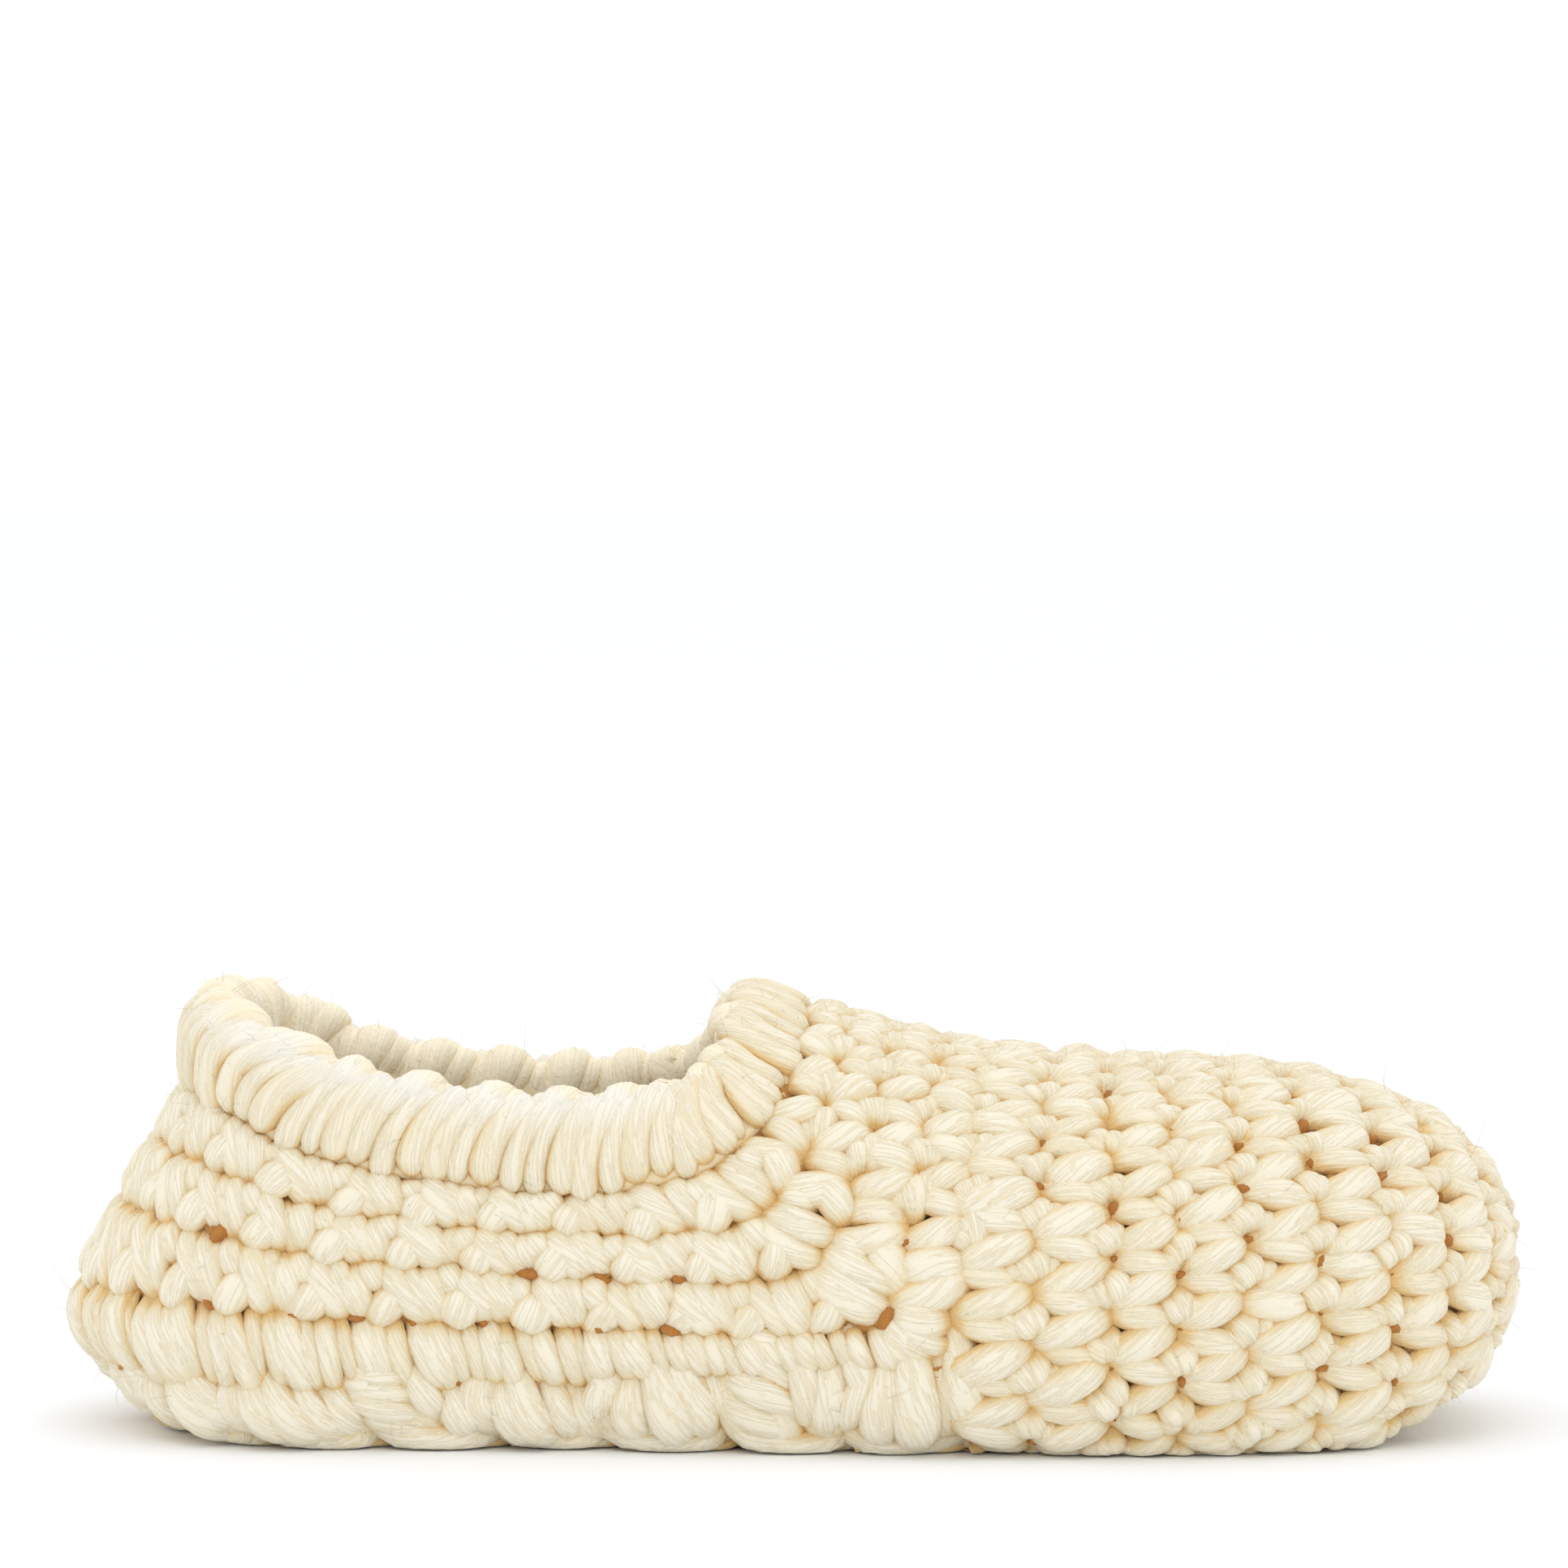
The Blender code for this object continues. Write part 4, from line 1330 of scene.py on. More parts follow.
class Round:
    """One round of stitches between two borders."""

    def __init__(self, first, middle, last, stitch_width, hole):
        self.lines = (first, middle, last)
        widths = stitch_width(middle.points)
        counts = running_total(middle.distance, 1.0 / widths)
        total = max(int(round(counts[-1])), LEAST_STITCHES)
        counts *= total / counts[-1]
        nearest = np.argmin(np.linalg.norm(middle.points - hole, axis=1))
        start = float(counts[nearest])
        wanted = np.sort(np.mod(start + HALF * (not middle.closed) + np.arange(total), total))
        self.middles = np.interp(wanted, counts, middle.distance)
        ahead = wanted + HALF
        behind = wanted - HALF
        if middle.closed:
            ahead = np.mod(ahead, total)
            behind = np.mod(behind, total)
        ends = [np.interp(at, counts, middle.distance) for at in (behind, ahead)]
        self.starts = []
        self.widths = []
        for line in self.lines:
            near, far = [line.across(middle.at(at)[0], middle.way(at)) for at in ends]
            self.widths.append(np.mod(far - near, line.length))
            self.starts.append(line.across(middle.at(self.middles)[0], middle.way(self.middles)))

    def lobe(self, i, rows):
        """Points and outward directions of one lobe of stitch i, on parabolas through the three lines."""
        spots = []
        for line, start, width in zip(self.lines, self.starts, self.widths):
            spots.append(line.at(start[i] + rows[:, ALONG] * width[i]))
        u = rows[:, ACROSS][:, None]
        weights = ((1.0 - u) * (1.0 - 2.0 * u), 4.0 * u * (1.0 - u), u * (2.0 * u - 1.0))
        points = sum(weight * spot[0] for weight, spot in zip(weights, spots))
        outward = unit(sum(weight * spot[1] for weight, spot in zip(weights, spots)))
        return points - outward * rows[:, DEPTH][:, None], outward


print("the seam of the toe cup is", round(TOE_ROWS[0].length), "mm round")

# %% [markdown]
# ## Holes
#
# Where two rounds meet, the yarn leaves small holes, and the painted shade in them, orange brown, is the
# darkest colour of the shoe. The larger ones along the side are charted from the photo: how far along the
# shoe they are, how high, and how wide. Holes at even steps would be shorter to write, but not this shoe's.

# %% Chart of the holes
HOLES = (
    (-96.4, 40.8, 1.5),
    (-99.3, 20.8, 1.0),
    (-83.5, 27.1, 1.1),
    (-73.1, 25.0, 1.0),
    (-63.8, 23.3, 0.9),
    (-56.9, 31.1, 1.1),
    (-52.1, 20.6, 1.0),
    (-56.9, 11.9, 1.0),
    (-44.6, 27.9, 1.3),
    (-32.0, 27.7, 1.2),
    (-32.6, 19.6, 1.2),
    (-18.9, 29.3, 1.2),
    (-20.2, 20.9, 1.4),
    (-20.2, 12.1, 1.1),
    (-7.8, 23.9, 0.9),
    (4.2, 25.4, 0.9),
    (18.6, 21.4, 1.5),
    (17.5, 36.8, 1.0),
)
print("holes in the chart", len(HOLES))

# %% [markdown]
# Dark spots in the wool's colour alone would look painted on. So strands sink where they pass a hole, and
# short tufts, coloured with painted shade in dark orange brown, lie deep inside it.

# %% Sunk strands and tufts of painted shade
HOLE_RADIUS = 1.7
HOLE_SINK = 1.5
HOLE_MIDDLE = 2.2
HOLLOW_LENGTH = 1.1
HOLLOW_THICK = (0.9, 1.5, 1.5, 0.9)
HOLLOW_SINK = (0.9, 0.0, 0.0, 0.9)
HOLLOW_SHADE = 9.5
# A hole is one row: its middle, the direction out of the wall, and its width.
MIDDLE = slice(0, 3)
WAY = slice(3, 6)
WIDTH = 6


def side_holes():
    """The larger holes on both sides of the shoe, between two rounds: middles, directions and widths."""
    borders = OPENING_ROWS[2::2]
    near = np.vstack([row.points[row.points[:, Y_AXIS] < 0.0] for row in borders])
    ways = np.vstack([row.outward[row.points[:, Y_AXIS] < 0.0] for row in borders])
    holes = []
    for x, z, width in HOLES:
        nearest = int(np.argmin(np.hypot(near[:, X_AXIS] - x, near[:, Z_AXIS] - z)))
        way = ways[nearest]
        middle = near[nearest] - way * HOLE_MIDDLE
        holes += [(*middle, *way, width), (*(middle * MIRROR), *(way * MIRROR), width)]
    return np.array(holes)


def dipped(points, outward, holes):
    """The points of a strand, sunk where it passes a hole."""
    gaps = np.linalg.norm(points[:, None, :] - holes[None, :, MIDDLE], axis=2)
    share = np.max(np.exp(-((gaps / (HOLE_RADIUS * holes[:, WIDTH])) ** 2)), axis=1)
    return points - outward * (HOLE_SINK * share)[:, None]


def fill_holes(yarn, holes):
    """Short tufts deep in a hole, in the dark painted shade of the hole."""
    count = len(HOLLOW_THICK)
    for hole in holes:
        middle, way, width = hole[MIDDLE], hole[WAY], hole[WIDTH]
        side = np.cross(way, DISORDER.normal(0.0, 1.0, 3))
        side /= np.linalg.norm(side)
        steps = np.linspace(-HOLLOW_LENGTH, HOLLOW_LENGTH, count)[:, None]
        points = middle + width * (steps * side - np.array(HOLLOW_SINK)[:, None] * way)
        thick = np.array(HOLLOW_THICK) * width
        yarn.strand(points, np.tile(way, (count, 1)), thick, np.full(count, HOLLOW_SHADE), DISORDER.rand())


SIDE_HOLES = side_holes()
print("holes along the sides", len(SIDE_HOLES))

# %% [markdown]
# No two stitches made by hand are the same. A little disorder in place, depth, thickness and lean keeps
# the work from looking printed. The strands could be moved one by one, but there are far too many. So all
# disorder comes from one random state with a fixed seed, and the same shoe is made every time.

# %% Working a round
PLACE_DISORDER = 0.035
DEPTH_DISORDER = 0.22
THICK_DISORDER = 0.07
LEAN_DISORDER = 0.07


def disordered(rows):
    """Rows of a chart with a little disorder in place, depth and thickness."""
    moved = rows.copy()
    moved[:, ACROSS] += DISORDER.normal(0.0, PLACE_DISORDER)
    moved[:, ALONG] += DISORDER.normal(0.0, PLACE_DISORDER)
    moved[:, DEPTH] += DISORDER.normal(0.0, DEPTH_DISORDER)
    moved[:, THICK] *= 1.0 + DISORDER.normal(0.0, THICK_DISORDER)
    return moved


def work_round(yarn, work, lobes_at, holes=SIDE_HOLES):
    """Adds every stitch of a round. lobes_at gives the lobes for the place of a stitch."""
    for i, middle in enumerate(work.middles):
        place = work.lines[1].at(middle)[0]
        for rows in lobes_at(place):
            rows = disordered(rows)
            rows[:, ALONG] += DISORDER.normal(0.0, LEAN_DISORDER) * (rows[:, ACROSS] - HALF)
            points, outward = work.lobe(i, rows)
            points = dipped(points, outward, holes)
            yarn.strand(points, outward, rows[:, THICK], rows[:, DEPTH], DISORDER.rand())


print("disorder of a place", PLACE_DISORDER, "stitches, of a depth", DEPTH_DISORDER, "mm")

# %% [markdown]
# ## Strands behind the stitches
#
# Deep behind the stitches a strand runs along every border and every middle of a round. It stands for the
# back of the stitches, and its painted shade, orange brown on the borders and tan on the middles, shows in
# the gaps. The padding alone could close them, but it is smooth.

# %% Strands behind the stitches
BASE_STEP = 2.5
BASE_DEPTH = 4.6
BASE_SHADE = 6.6
BASE_THICK = 2.5
FILL_DEPTH = 4.4
FILL_SHADE = 3.7
FILL_THICK = 2.6


def round_strand(yarn, row, depth, thick, shade):
    """A strand that runs along a row, deep behind the stitches."""
    count = int(row.length / BASE_STEP)
    points, outward = row.at(np.linspace(0.0, row.length, count))
    shades = np.full(count, shade)
    yarn.strand(points - outward * depth, outward, np.full(count, thick), shades, DISORDER.rand())


def back_strands(yarn, borders, middles):
    """The yarn that shows in the gaps, in painted shade: dark along the borders of rounds, and paler along
    their middles.
    """
    for row in borders:
        round_strand(yarn, row, BASE_DEPTH, BASE_THICK, BASE_SHADE)
    for row in middles:
        round_strand(yarn, row, FILL_DEPTH, FILL_THICK, FILL_SHADE)


print("strands behind the stitches lie", BASE_DEPTH, "mm deep")

# %% [markdown]
# ## Toe cup
#
# The toe cup is worked in nine rounds from the seam to the tip, with its V stitches pointing at the toe.
# The first round reaches back over the seam and hides it. One modelled stitch could be copied round the
# toe, but it would not follow the bends, so each stitch is placed strand by strand.

# %% Toe cup
TOE_STITCH_WIDTH = 9.6
SEAM_REACH = 0.22
# One hole of each round is at this height in the photo, and its stitches are counted from there.
HOLE_HEIGHTS = (32.0, 37.0, 34.5, 31.0, 27.0, 24.0, 20.0, 17.0, 20.0)
# The place of the hole in a stitch, as a row of a chart.
TOE_HOLE = np.array(((1.03, 0.68, 2.4, 0.0),))
TOE_HOLE_WIDTHS = (0.35, 1.05)


def near_spot(row, axis, value):
    """The place on the near side of a row where a coordinate is nearest to a value."""
    near = row.points[:, Y_AXIS] < 0.0
    gaps = np.where(near, np.abs(row.points[:, axis] - value), np.inf)
    return row.points[int(np.argmin(gaps))]


def over_seam(lobes):
    """Stitches of the first round, which reach back over the seam."""
    reached = lobes.copy()
    reached[:, :, ACROSS] = (1.0 + SEAM_REACH) * lobes[:, :, ACROSS] - SEAM_REACH
    return reached


def toe_holes(rounds):
    """A hole in each stitch of the toe cup."""
    holes = []
    for work in rounds:
        for i in range(len(work.middles)):
            middle, way = work.lobe(i, TOE_HOLE)
            holes.append((*middle[0], *way[0], DISORDER.uniform(*TOE_HOLE_WIDTHS)))
    return np.array(holes)


def make_toe_cup():
    """All rounds from the seam to the tip."""
    legs = Yarn()
    fans = Yarn()
    back_strands(legs, TOE_ROWS[0:-1:2], TOE_ROWS[1::2])
    rounds = []
    for k, height in enumerate(HOLE_HEIGHTS):
        lines = round_lines(TOE_ROWS, k)
        hole = near_spot(lines[1], Z_AXIS, height)
        rounds.append(Round(*lines, even_width(TOE_STITCH_WIDTH), hole))
    holes = toe_holes(rounds)
    for k, work in enumerate(rounds):
        for yarn, lobes in ((legs, TOE_LEGS), (fans, TOE_FANS)):
            placed = lobes if k else over_seam(lobes)
            work_round(yarn, work, lambda place: placed, holes)
    fill_holes(fans, holes)
    yarn_piece("toe_cup_stitches", legs, UPPER_WOOL, "upper")
    yarn_piece("toe_cup_fans", fans, UPPER_WOOL, "upper")


make_toe_cup()

# %% [markdown]
# ## Rounds of the foot opening
#
# Four rounds run along the sides and the heel and turn over the instep, where they become like the
# stitches of the toe cup. The turn is a mitre: it lies further forward in each lower round. Sides and
# instep could be two pieces that meet there, but the real rounds run on, so each stitch is picked by its
# place. In the lowest round only the upright legs show above the puffs of the sole.

# %% Rounds of the foot opening
SIDE_STITCH_WIDTH = 12.4
VAMP_STITCH_WIDTH = 10.0
TURN_LENGTH = 14.0
# One hole of each round is this far along the shoe, and its stitches are counted from there.
HOLE_XS = (-39.2, -42.0, -44.9, -45.0)
# The legs of the lowest round reach over this share of it, at places along the shoe.
LEG_REACH_X = (-85.0, -65.0, -40.0, 0.0, 20.0)
LEG_REACH = (1.15, 1.2, 1.05, 0.72, 0.68)


def vamp_share(x, share):
    """0 along the sides and the heel, and 1 past the corner where a round turns over the instep."""
    corner = RIM_ALONG[-1] + (ROUND_SIDE_X[0] - RIM_ALONG[-1]) * share
    return ease((x - corner) / TURN_LENGTH + HALF)


def opening_widths(share):
    """A function that gives the stitch widths along a round, which are smaller over the instep."""

    def widths(points):
        turns = np.array([vamp_share(x, share) for x in points[:, X_AXIS]])
        return SIDE_STITCH_WIDTH + (VAMP_STITCH_WIDTH - SIDE_STITCH_WIDTH) * turns

    return widths


def opening_lobes(share, lowest):
    """A function that gives the lobes for the place of a stitch."""

    def lobes(place):
        if vamp_share(place[X_AXIS], share) > HALF:
            return VAMP_LOBES
        if lowest:
            reach = float(np.interp(place[X_AXIS], LEG_REACH_X, LEG_REACH))
            return uneven(LOW_LOBES) * np.array((reach, 1.0, 1.0, 1.0))
        return SIDE_LOBES

    return lobes


def make_opening_rounds():
    """Three rounds of side stitches, and the lowest one of legs."""
    stitches = Yarn()
    legs = Yarn()
    back_strands(stitches, OPENING_ROWS[2::2], OPENING_ROWS[1::2])
    for k, hole_x in enumerate(HOLE_XS):
        lines = round_lines(OPENING_ROWS, k)
        share = (OPENING_ROUNDS[k] + OPENING_ROUNDS[k + 1]) / 2.0
        lowest = k == len(HOLE_XS) - 1
        work = Round(*lines, opening_widths(share), near_spot(lines[1], X_AXIS, hole_x))
        work_round(legs if lowest else stitches, work, opening_lobes(share, lowest))
    fill_holes(legs, SIDE_HOLES)
    yarn_piece("opening_round_stitches", stitches, UPPER_WOOL, "upper")
    yarn_piece("leg_round_stitches", legs, UPPER_WOOL, "upper")


make_opening_rounds()

# %% [markdown]
# ## Sole
#
# The edge of the sole is turned up all round. Each pair of rows ends there in a fat puff: a few upright
# loops on top, and below them strands that sag like a smile. Three charts of puffs take turns, because a
# single one would look like a machine's work.

# %% Charts of the puffs
SMILE = (
    (0.90, -0.53, 4.2, 2.2),
    (1.04, -0.32, 2.0, 2.8),
    (1.11, 0.00, 1.6, 3.0),
    (1.04, 0.32, 2.0, 2.8),
    (0.90, 0.53, 4.2, 2.2),
)
SHELL_PUFF = (
    ((0.00, -0.18, 4.0, 2.0), (0.18, -0.34, 1.9, 2.8), (0.46, -0.43, 1.6, 3.0), (0.74, -0.40, 3.4, 2.3)),
    ((-0.06, -0.12, 4.0, 1.9), (0.20, -0.19, 1.6, 2.6), (0.52, -0.23, 1.3, 2.9), (0.82, -0.18, 3.2, 2.4)),
    ((-0.08, 0.04, 4.0, 2.0), (0.20, 0.03, 1.4, 2.9), (0.54, 0.01, 1.0, 3.3), (0.86, 0.00, 3.0, 2.7)),
    ((-0.06, 0.26, 4.0, 2.0), (0.20, 0.24, 1.6, 2.8), (0.50, 0.24, 1.3, 3.0), (0.80, 0.20, 3.2, 2.5)),
    ((0.02, 0.46, 4.2, 2.0), (0.24, 0.44, 1.9, 2.7), (0.50, 0.42, 1.7, 2.9), (0.76, 0.36, 3.4, 2.3)),
    ((0.66, -0.55, 4.2, 2.0), (0.80, -0.36, 2.1, 2.5), (0.88, -0.10, 1.7, 2.7), (0.88, 0.14, 1.7, 2.7),
     (0.80, 0.38, 2.1, 2.5), (0.66, 0.55, 4.2, 2.0)),
    SMILE,
)
RAY_PUFF = (
    ((0.04, -0.06, 4.2, 1.9), (0.20, -0.24, 1.8, 2.7), (0.44, -0.38, 1.5, 3.0), (0.68, -0.46, 3.4, 2.3)),
    ((0.04, -0.02, 4.2, 1.9), (0.26, -0.12, 1.5, 2.8), (0.54, -0.20, 1.2, 3.1), (0.84, -0.22, 3.2, 2.5)),
    ((0.02, 0.06, 4.2, 2.0), (0.24, 0.10, 1.4, 3.0), (0.54, 0.12, 1.0, 3.5), (0.88, 0.08, 3.0, 2.7)),
    ((-0.08, 0.26, 4.0, 2.0), (0.16, 0.31, 1.7, 2.9), (0.44, 0.36, 1.4, 3.2), (0.76, 0.34, 3.2, 2.5)),
    ((-0.10, -0.46, 4.2, 1.9), (0.04, -0.36, 1.9, 2.6), (0.20, -0.30, 1.8, 2.7), (0.38, -0.26, 4.0, 1.9)),
    ((-0.04, 0.56, 4.2, 1.9), (0.16, 0.50, 2.0, 2.6), (0.40, 0.48, 1.9, 2.7), (0.66, 0.46, 3.6, 2.2)),
    ((0.66, -0.55, 4.2, 2.0), (0.80, -0.36, 2.1, 2.5), (0.88, -0.10, 1.7, 2.7), (0.90, 0.14, 1.8, 2.6),
     (0.86, 0.38, 2.4, 2.4), (0.72, 0.55, 4.2, 2.0)),
    SMILE,
)
BUN_PUFF = (
    ((0.06, -0.50, 4.2, 1.8), (0.08, -0.30, 1.8, 2.4), (0.16, -0.08, 1.4, 2.6), (0.34, 0.12, 3.4, 2.0)),
    ((0.24, -0.52, 4.2, 1.8), (0.28, -0.32, 1.5, 2.4), (0.38, -0.10, 1.2, 2.5), (0.56, 0.10, 3.4, 1.9)),
    ((0.42, -0.54, 4.2, 1.8), (0.48, -0.34, 1.7, 2.4), (0.58, -0.12, 1.4, 2.5), (0.76, 0.08, 3.4, 1.9)),
    ((-0.08, 0.14, 4.0, 2.0), (0.10, 0.20, 1.7, 2.7), (0.34, 0.22, 1.3, 2.9), (0.62, 0.18, 3.2, 2.4)),
    ((-0.04, 0.42, 4.0, 2.0), (0.18, 0.43, 1.6, 3.0), (0.46, 0.38, 1.2, 3.4), (0.76, 0.28, 3.2, 2.6)),
    ((-0.10, -0.34, 4.2, 1.9), (0.00, -0.20, 1.9, 2.5), (0.04, -0.02, 1.9, 2.5), (0.12, 0.12, 4.2, 1.8)),
    ((0.62, -0.55, 4.2, 2.0), (0.72, -0.34, 1.8, 2.8), (0.80, -0.10, 1.4, 3.0), (0.84, 0.16, 1.6, 2.9),
     (0.82, 0.40, 2.2, 2.5), (0.70, 0.55, 4.2, 2.0)),
    ((0.90, -0.53, 4.2, 2.2), (1.02, -0.32, 2.0, 2.8), (1.08, 0.00, 1.6, 3.0), (1.02, 0.32, 2.0, 2.8),
     (0.90, 0.53, 4.2, 2.2)),
)
PUFF_FILL = (
    ((-0.10, -0.30, 5.2, 2.4), (0.30, -0.32, 4.2, 3.8), (0.70, -0.30, 4.2, 3.8), (1.05, -0.26, 5.2, 2.8)),
    ((-0.10, 0.00, 5.2, 2.4), (0.30, 0.00, 4.0, 3.8), (0.70, 0.00, 4.0, 3.8), (1.08, 0.00, 5.2, 2.8)),
    ((-0.10, 0.30, 5.2, 2.4), (0.30, 0.32, 4.2, 3.8), (0.70, 0.30, 4.2, 3.8), (1.05, 0.26, 5.2, 2.8)),
)
PUFFS = (SHELL_PUFF, RAY_PUFF, BUN_PUFF)
print("strands in the puffs", [len(puff + PUFF_FILL) for puff in PUFFS])

# %% [markdown]
# The puffs lie on the lowest band of the wall, round the heel from one end of the seam to the other. The
# band is kept as a grid of places, and a chart is laid on it by how far down and how far along its rows
# are. Puffs could be sculpted in the mesh of the sole too, but strands give the clefts between the loops.

# %% Band of the edge
EDGE_TURN = 0.31
EDGE_STATIONS = 90


class Patch:
    """A grid of places on the last, read by how far down it and how far along it they are."""

    def __init__(self, rows, downs):
        self.downs = downs
        self.points = np.array([row.points for row in rows])
        self.outward = np.array([row.outward for row in rows])

    def blend(self, grid, down, share):
        """Values between the four nearest places of the grid."""
        d = np.interp(down, self.downs, np.arange(len(self.downs)))
        s = np.clip(share, 0.0, 1.0) * (ROW_POINTS - 1)
        i = np.minimum(d.astype(int), len(self.downs) - 2)
        j = np.minimum(s.astype(int), ROW_POINTS - 2)
        f = (d - i)[:, None]
        g = (s - j)[:, None]
        high = grid[i, j] * (1.0 - g) + grid[i, j + 1] * g
        low = grid[i + 1, j] * (1.0 - g) + grid[i + 1, j + 1] * g
        return high * (1.0 - f) + low * f

    def at(self, down, share):
        """Points and outward directions at places of the patch."""
        return self.blend(self.points, down, share), unit(self.blend(self.outward, down, share))


def edge_row(down, place_of):
    """A line along the edge of the sole, from the far seam round the heel to the near seam."""
    around = -EDGE_TURN * down
    alongs = np.linspace(toe_along(0.0, 0.0), heel_end(), EDGE_STATIONS)
    half = [place_of(along, around) for along in alongs]
    points = np.array([point for point, _ in half])
    outward = np.array([way for _, way in half])
    points = np.vstack([points, points[-2::-1] * MIRROR])
    return Row(points, np.vstack([outward, outward[-2::-1] * MIRROR]), False)


print("edge of the sole", round(edge_row(0.0, wall_place).length), "mm long")

# %% [markdown]
# The puffs stand side by side along the band, and start higher towards the toe, as in the photo. Each one
# bulges in its middle and sinks at both ends, so that a cleft parts it from the next. The bulge could be
# drawn into every chart, but one formula keeps it the same for all.

# %% Edge of the sole
EDGE_FROM = -0.7
EDGE_TO = 1.4
EDGE_LINES = 22
PUFF_LENGTH = 19.0
PUFF_RELIEF = 1.4
PUFF_SWELL = 1.1
PUFF_SHADE = 0.8
PUFF_ORDER = (0, 1, 2, 1, 0, 2)
# The puffs begin this far down, at places along the shoe. The edge of the sole is at 0.
PUFF_TOP_X = (-90.0, -65.0, -40.0, 0.0, 25.0)
PUFF_TOP = (-0.04, 0.0, -0.12, -0.34, -0.40)


def make_sole_edge():
    """The row of puffs, with their charts in turn."""
    yarn = Yarn()
    downs = np.linspace(EDGE_FROM, EDGE_TO, EDGE_LINES)
    rows = [edge_row(down, wall_place) for down in downs]
    patch = Patch(rows, downs)
    count = int(round(rows[-1].length / PUFF_LENGTH))
    variants = [[drawn_out(chart) for chart in puff + PUFF_FILL] for puff in PUFFS]
    for i in range(count):
        middle = rows[0].at((i + HALF) / count * rows[0].length)[0]
        top = float(np.interp(middle[X_AXIS], PUFF_TOP_X, PUFF_TOP))
        for chart in variants[PUFF_ORDER[(count - i) % len(PUFF_ORDER)]]:
            moved = disordered(chart)
            sunk = moved[:, DEPTH] + PUFF_RELIEF * (1.0 - np.cos(np.pi * moved[:, ALONG]))
            down = top + (1.0 - top) * moved[:, ACROSS]
            points, outward = patch.at(down, (i + HALF + moved[:, ALONG]) / count)
            points = dipped(points - outward * sunk[:, None], outward, SIDE_HOLES)
            shade = moved[:, DEPTH] - PUFF_SHADE
            yarn.strand(points, outward, moved[:, THICK] * PUFF_SWELL, shade, DISORDER.rand())
    yarn_piece("sole_edge_strands", yarn, SOLE_WOOL, "sole")


make_sole_edge()

# %% [markdown]
# Under the foot and on the insole the rows run straight across. They show the same stitch as the upper,
# pressed flat. A picture of crochet on a flat face would be lighter, but strands keep the look when the
# shoe is turned over or seen from above.

# %% Underside of the sole and insole
UNDER_ROW = 9.4
UNDER_STITCH_WIDTH = 10.4
UNDER_POINTS = 40
INSOLE_MARGIN = 0.5
UNDER_MARGIN = 1.0
LEAST_HALF_WIDTH = 2.0
ROW_PARTS = (0.0, 0.5, 1.0)


def under_half_width(x, margin):
    """Half the width of the flat under the foot."""
    contact = CONTACT_SHARE * half_width(max(x, HEEL_CENTRE_X), 0.0) - margin
    behind = min(max(HEEL_CENTRE_X - x, 0.0) / (HEEL_FLOOR_RADIUS + margin), 1.0)
    return contact * math.sqrt(1.0 - behind**2)


def under_row(x, height, facing, margin):
    """A line straight across the foot, on the underside or on the insole."""
    reach = max(under_half_width(x, margin), LEAST_HALF_WIDTH)
    ys = np.linspace(reach, -reach, UNDER_POINTS) * -facing
    points = [(x, y, height) for y in ys]
    return Row(points, [(0.0, 0.0, facing)] * UNDER_POINTS, False)


def work_flat(yarn, height, facing, margin):
    """Rows of stitches from the heel to the seam of the toe cup."""
    front = ROUND_UNDER_X[0]
    back = HEEL_CENTRE_X - HEEL_FLOOR_RADIUS
    count = int(round((front - back) / UNDER_ROW))
    for k in range(count):
        xs = [back + (front - back) * (k + part) / count for part in ROW_PARTS]
        lines = [under_row(x, height, facing, margin) for x in xs]
        work = Round(*lines, even_width(UNDER_STITCH_WIDTH), lines[1].points[0])
        work_round(yarn, work, lambda place: FLAT_LOBES)


def make_sole_flats():
    """The rows of the underside and of the insole."""
    under = Yarn()
    work_flat(under, -PRESSED, -1.0, UNDER_MARGIN)
    yarn_piece("sole_row_stitches", under, SOLE_WOOL, "sole")
    insole = Yarn()
    work_flat(insole, SOLE_THICKNESS, 1.0, INSOLE_MARGIN)
    yarn_piece("insole_stitches", insole, SOLE_WOOL, "sole")


make_sole_flats()

# %% [markdown]
# ## Inside of the walls
#
# The photo shows only a little of the inside, so it is guessed: the backs of the same stitches, as plain
# legs. Pale strands behind them fill the gaps. A smooth lining would be simpler, but it would look like
# another cloth, and the foot opening lets the eye in from above.

# %% Inside of the walls
INNER_STITCH_WIDTH = 11.0
INNER_EDGE_DOWNS = (0.0, 0.6, 1.2)
INNER_FILL_DEPTH = 2.8
INNER_FILL_THICK = 2.7
INNER_FILL_SHADE = 3.0
INNER_LOOK = {"Sides": 8}


def make_inner_walls():
    """Plain legs, with pale strands behind them."""
    yarn = Yarn()
    wall_rows = opening_rows(inner_place)
    edge_rows = [edge_row(down, inner_place) for down in INNER_EDGE_DOWNS]
    for row in wall_rows + edge_rows:
        round_strand(yarn, row, INNER_FILL_DEPTH, INNER_FILL_THICK, INNER_FILL_SHADE)
    for rows in (wall_rows, edge_rows, toe_rows(inner_place)):
        for k in range(len(rows) // 2):
            lines = round_lines(rows, k)
            work = Round(*lines, even_width(INNER_STITCH_WIDTH), lines[1].points[0])
            work_round(yarn, work, lambda place: TOE_LEGS)
    yarn_piece("inner_wall_stitches", yarn, UPPER_WOOL, "upper", INNER_LOOK)


make_inner_walls()

# %% [markdown]
# ## Collar
#
# The edge of the foot opening is wrapped over and over with the same yarn, into a fat roll. The roll
# follows the rim, a closed line with the direction square to the last at each point. That direction comes
# from short steps on the last, because the line from the inside to the outside leans a little.

# %% Rim of the foot opening
NORMAL_STEP = 0.5
AROUND_STEP = 0.0005


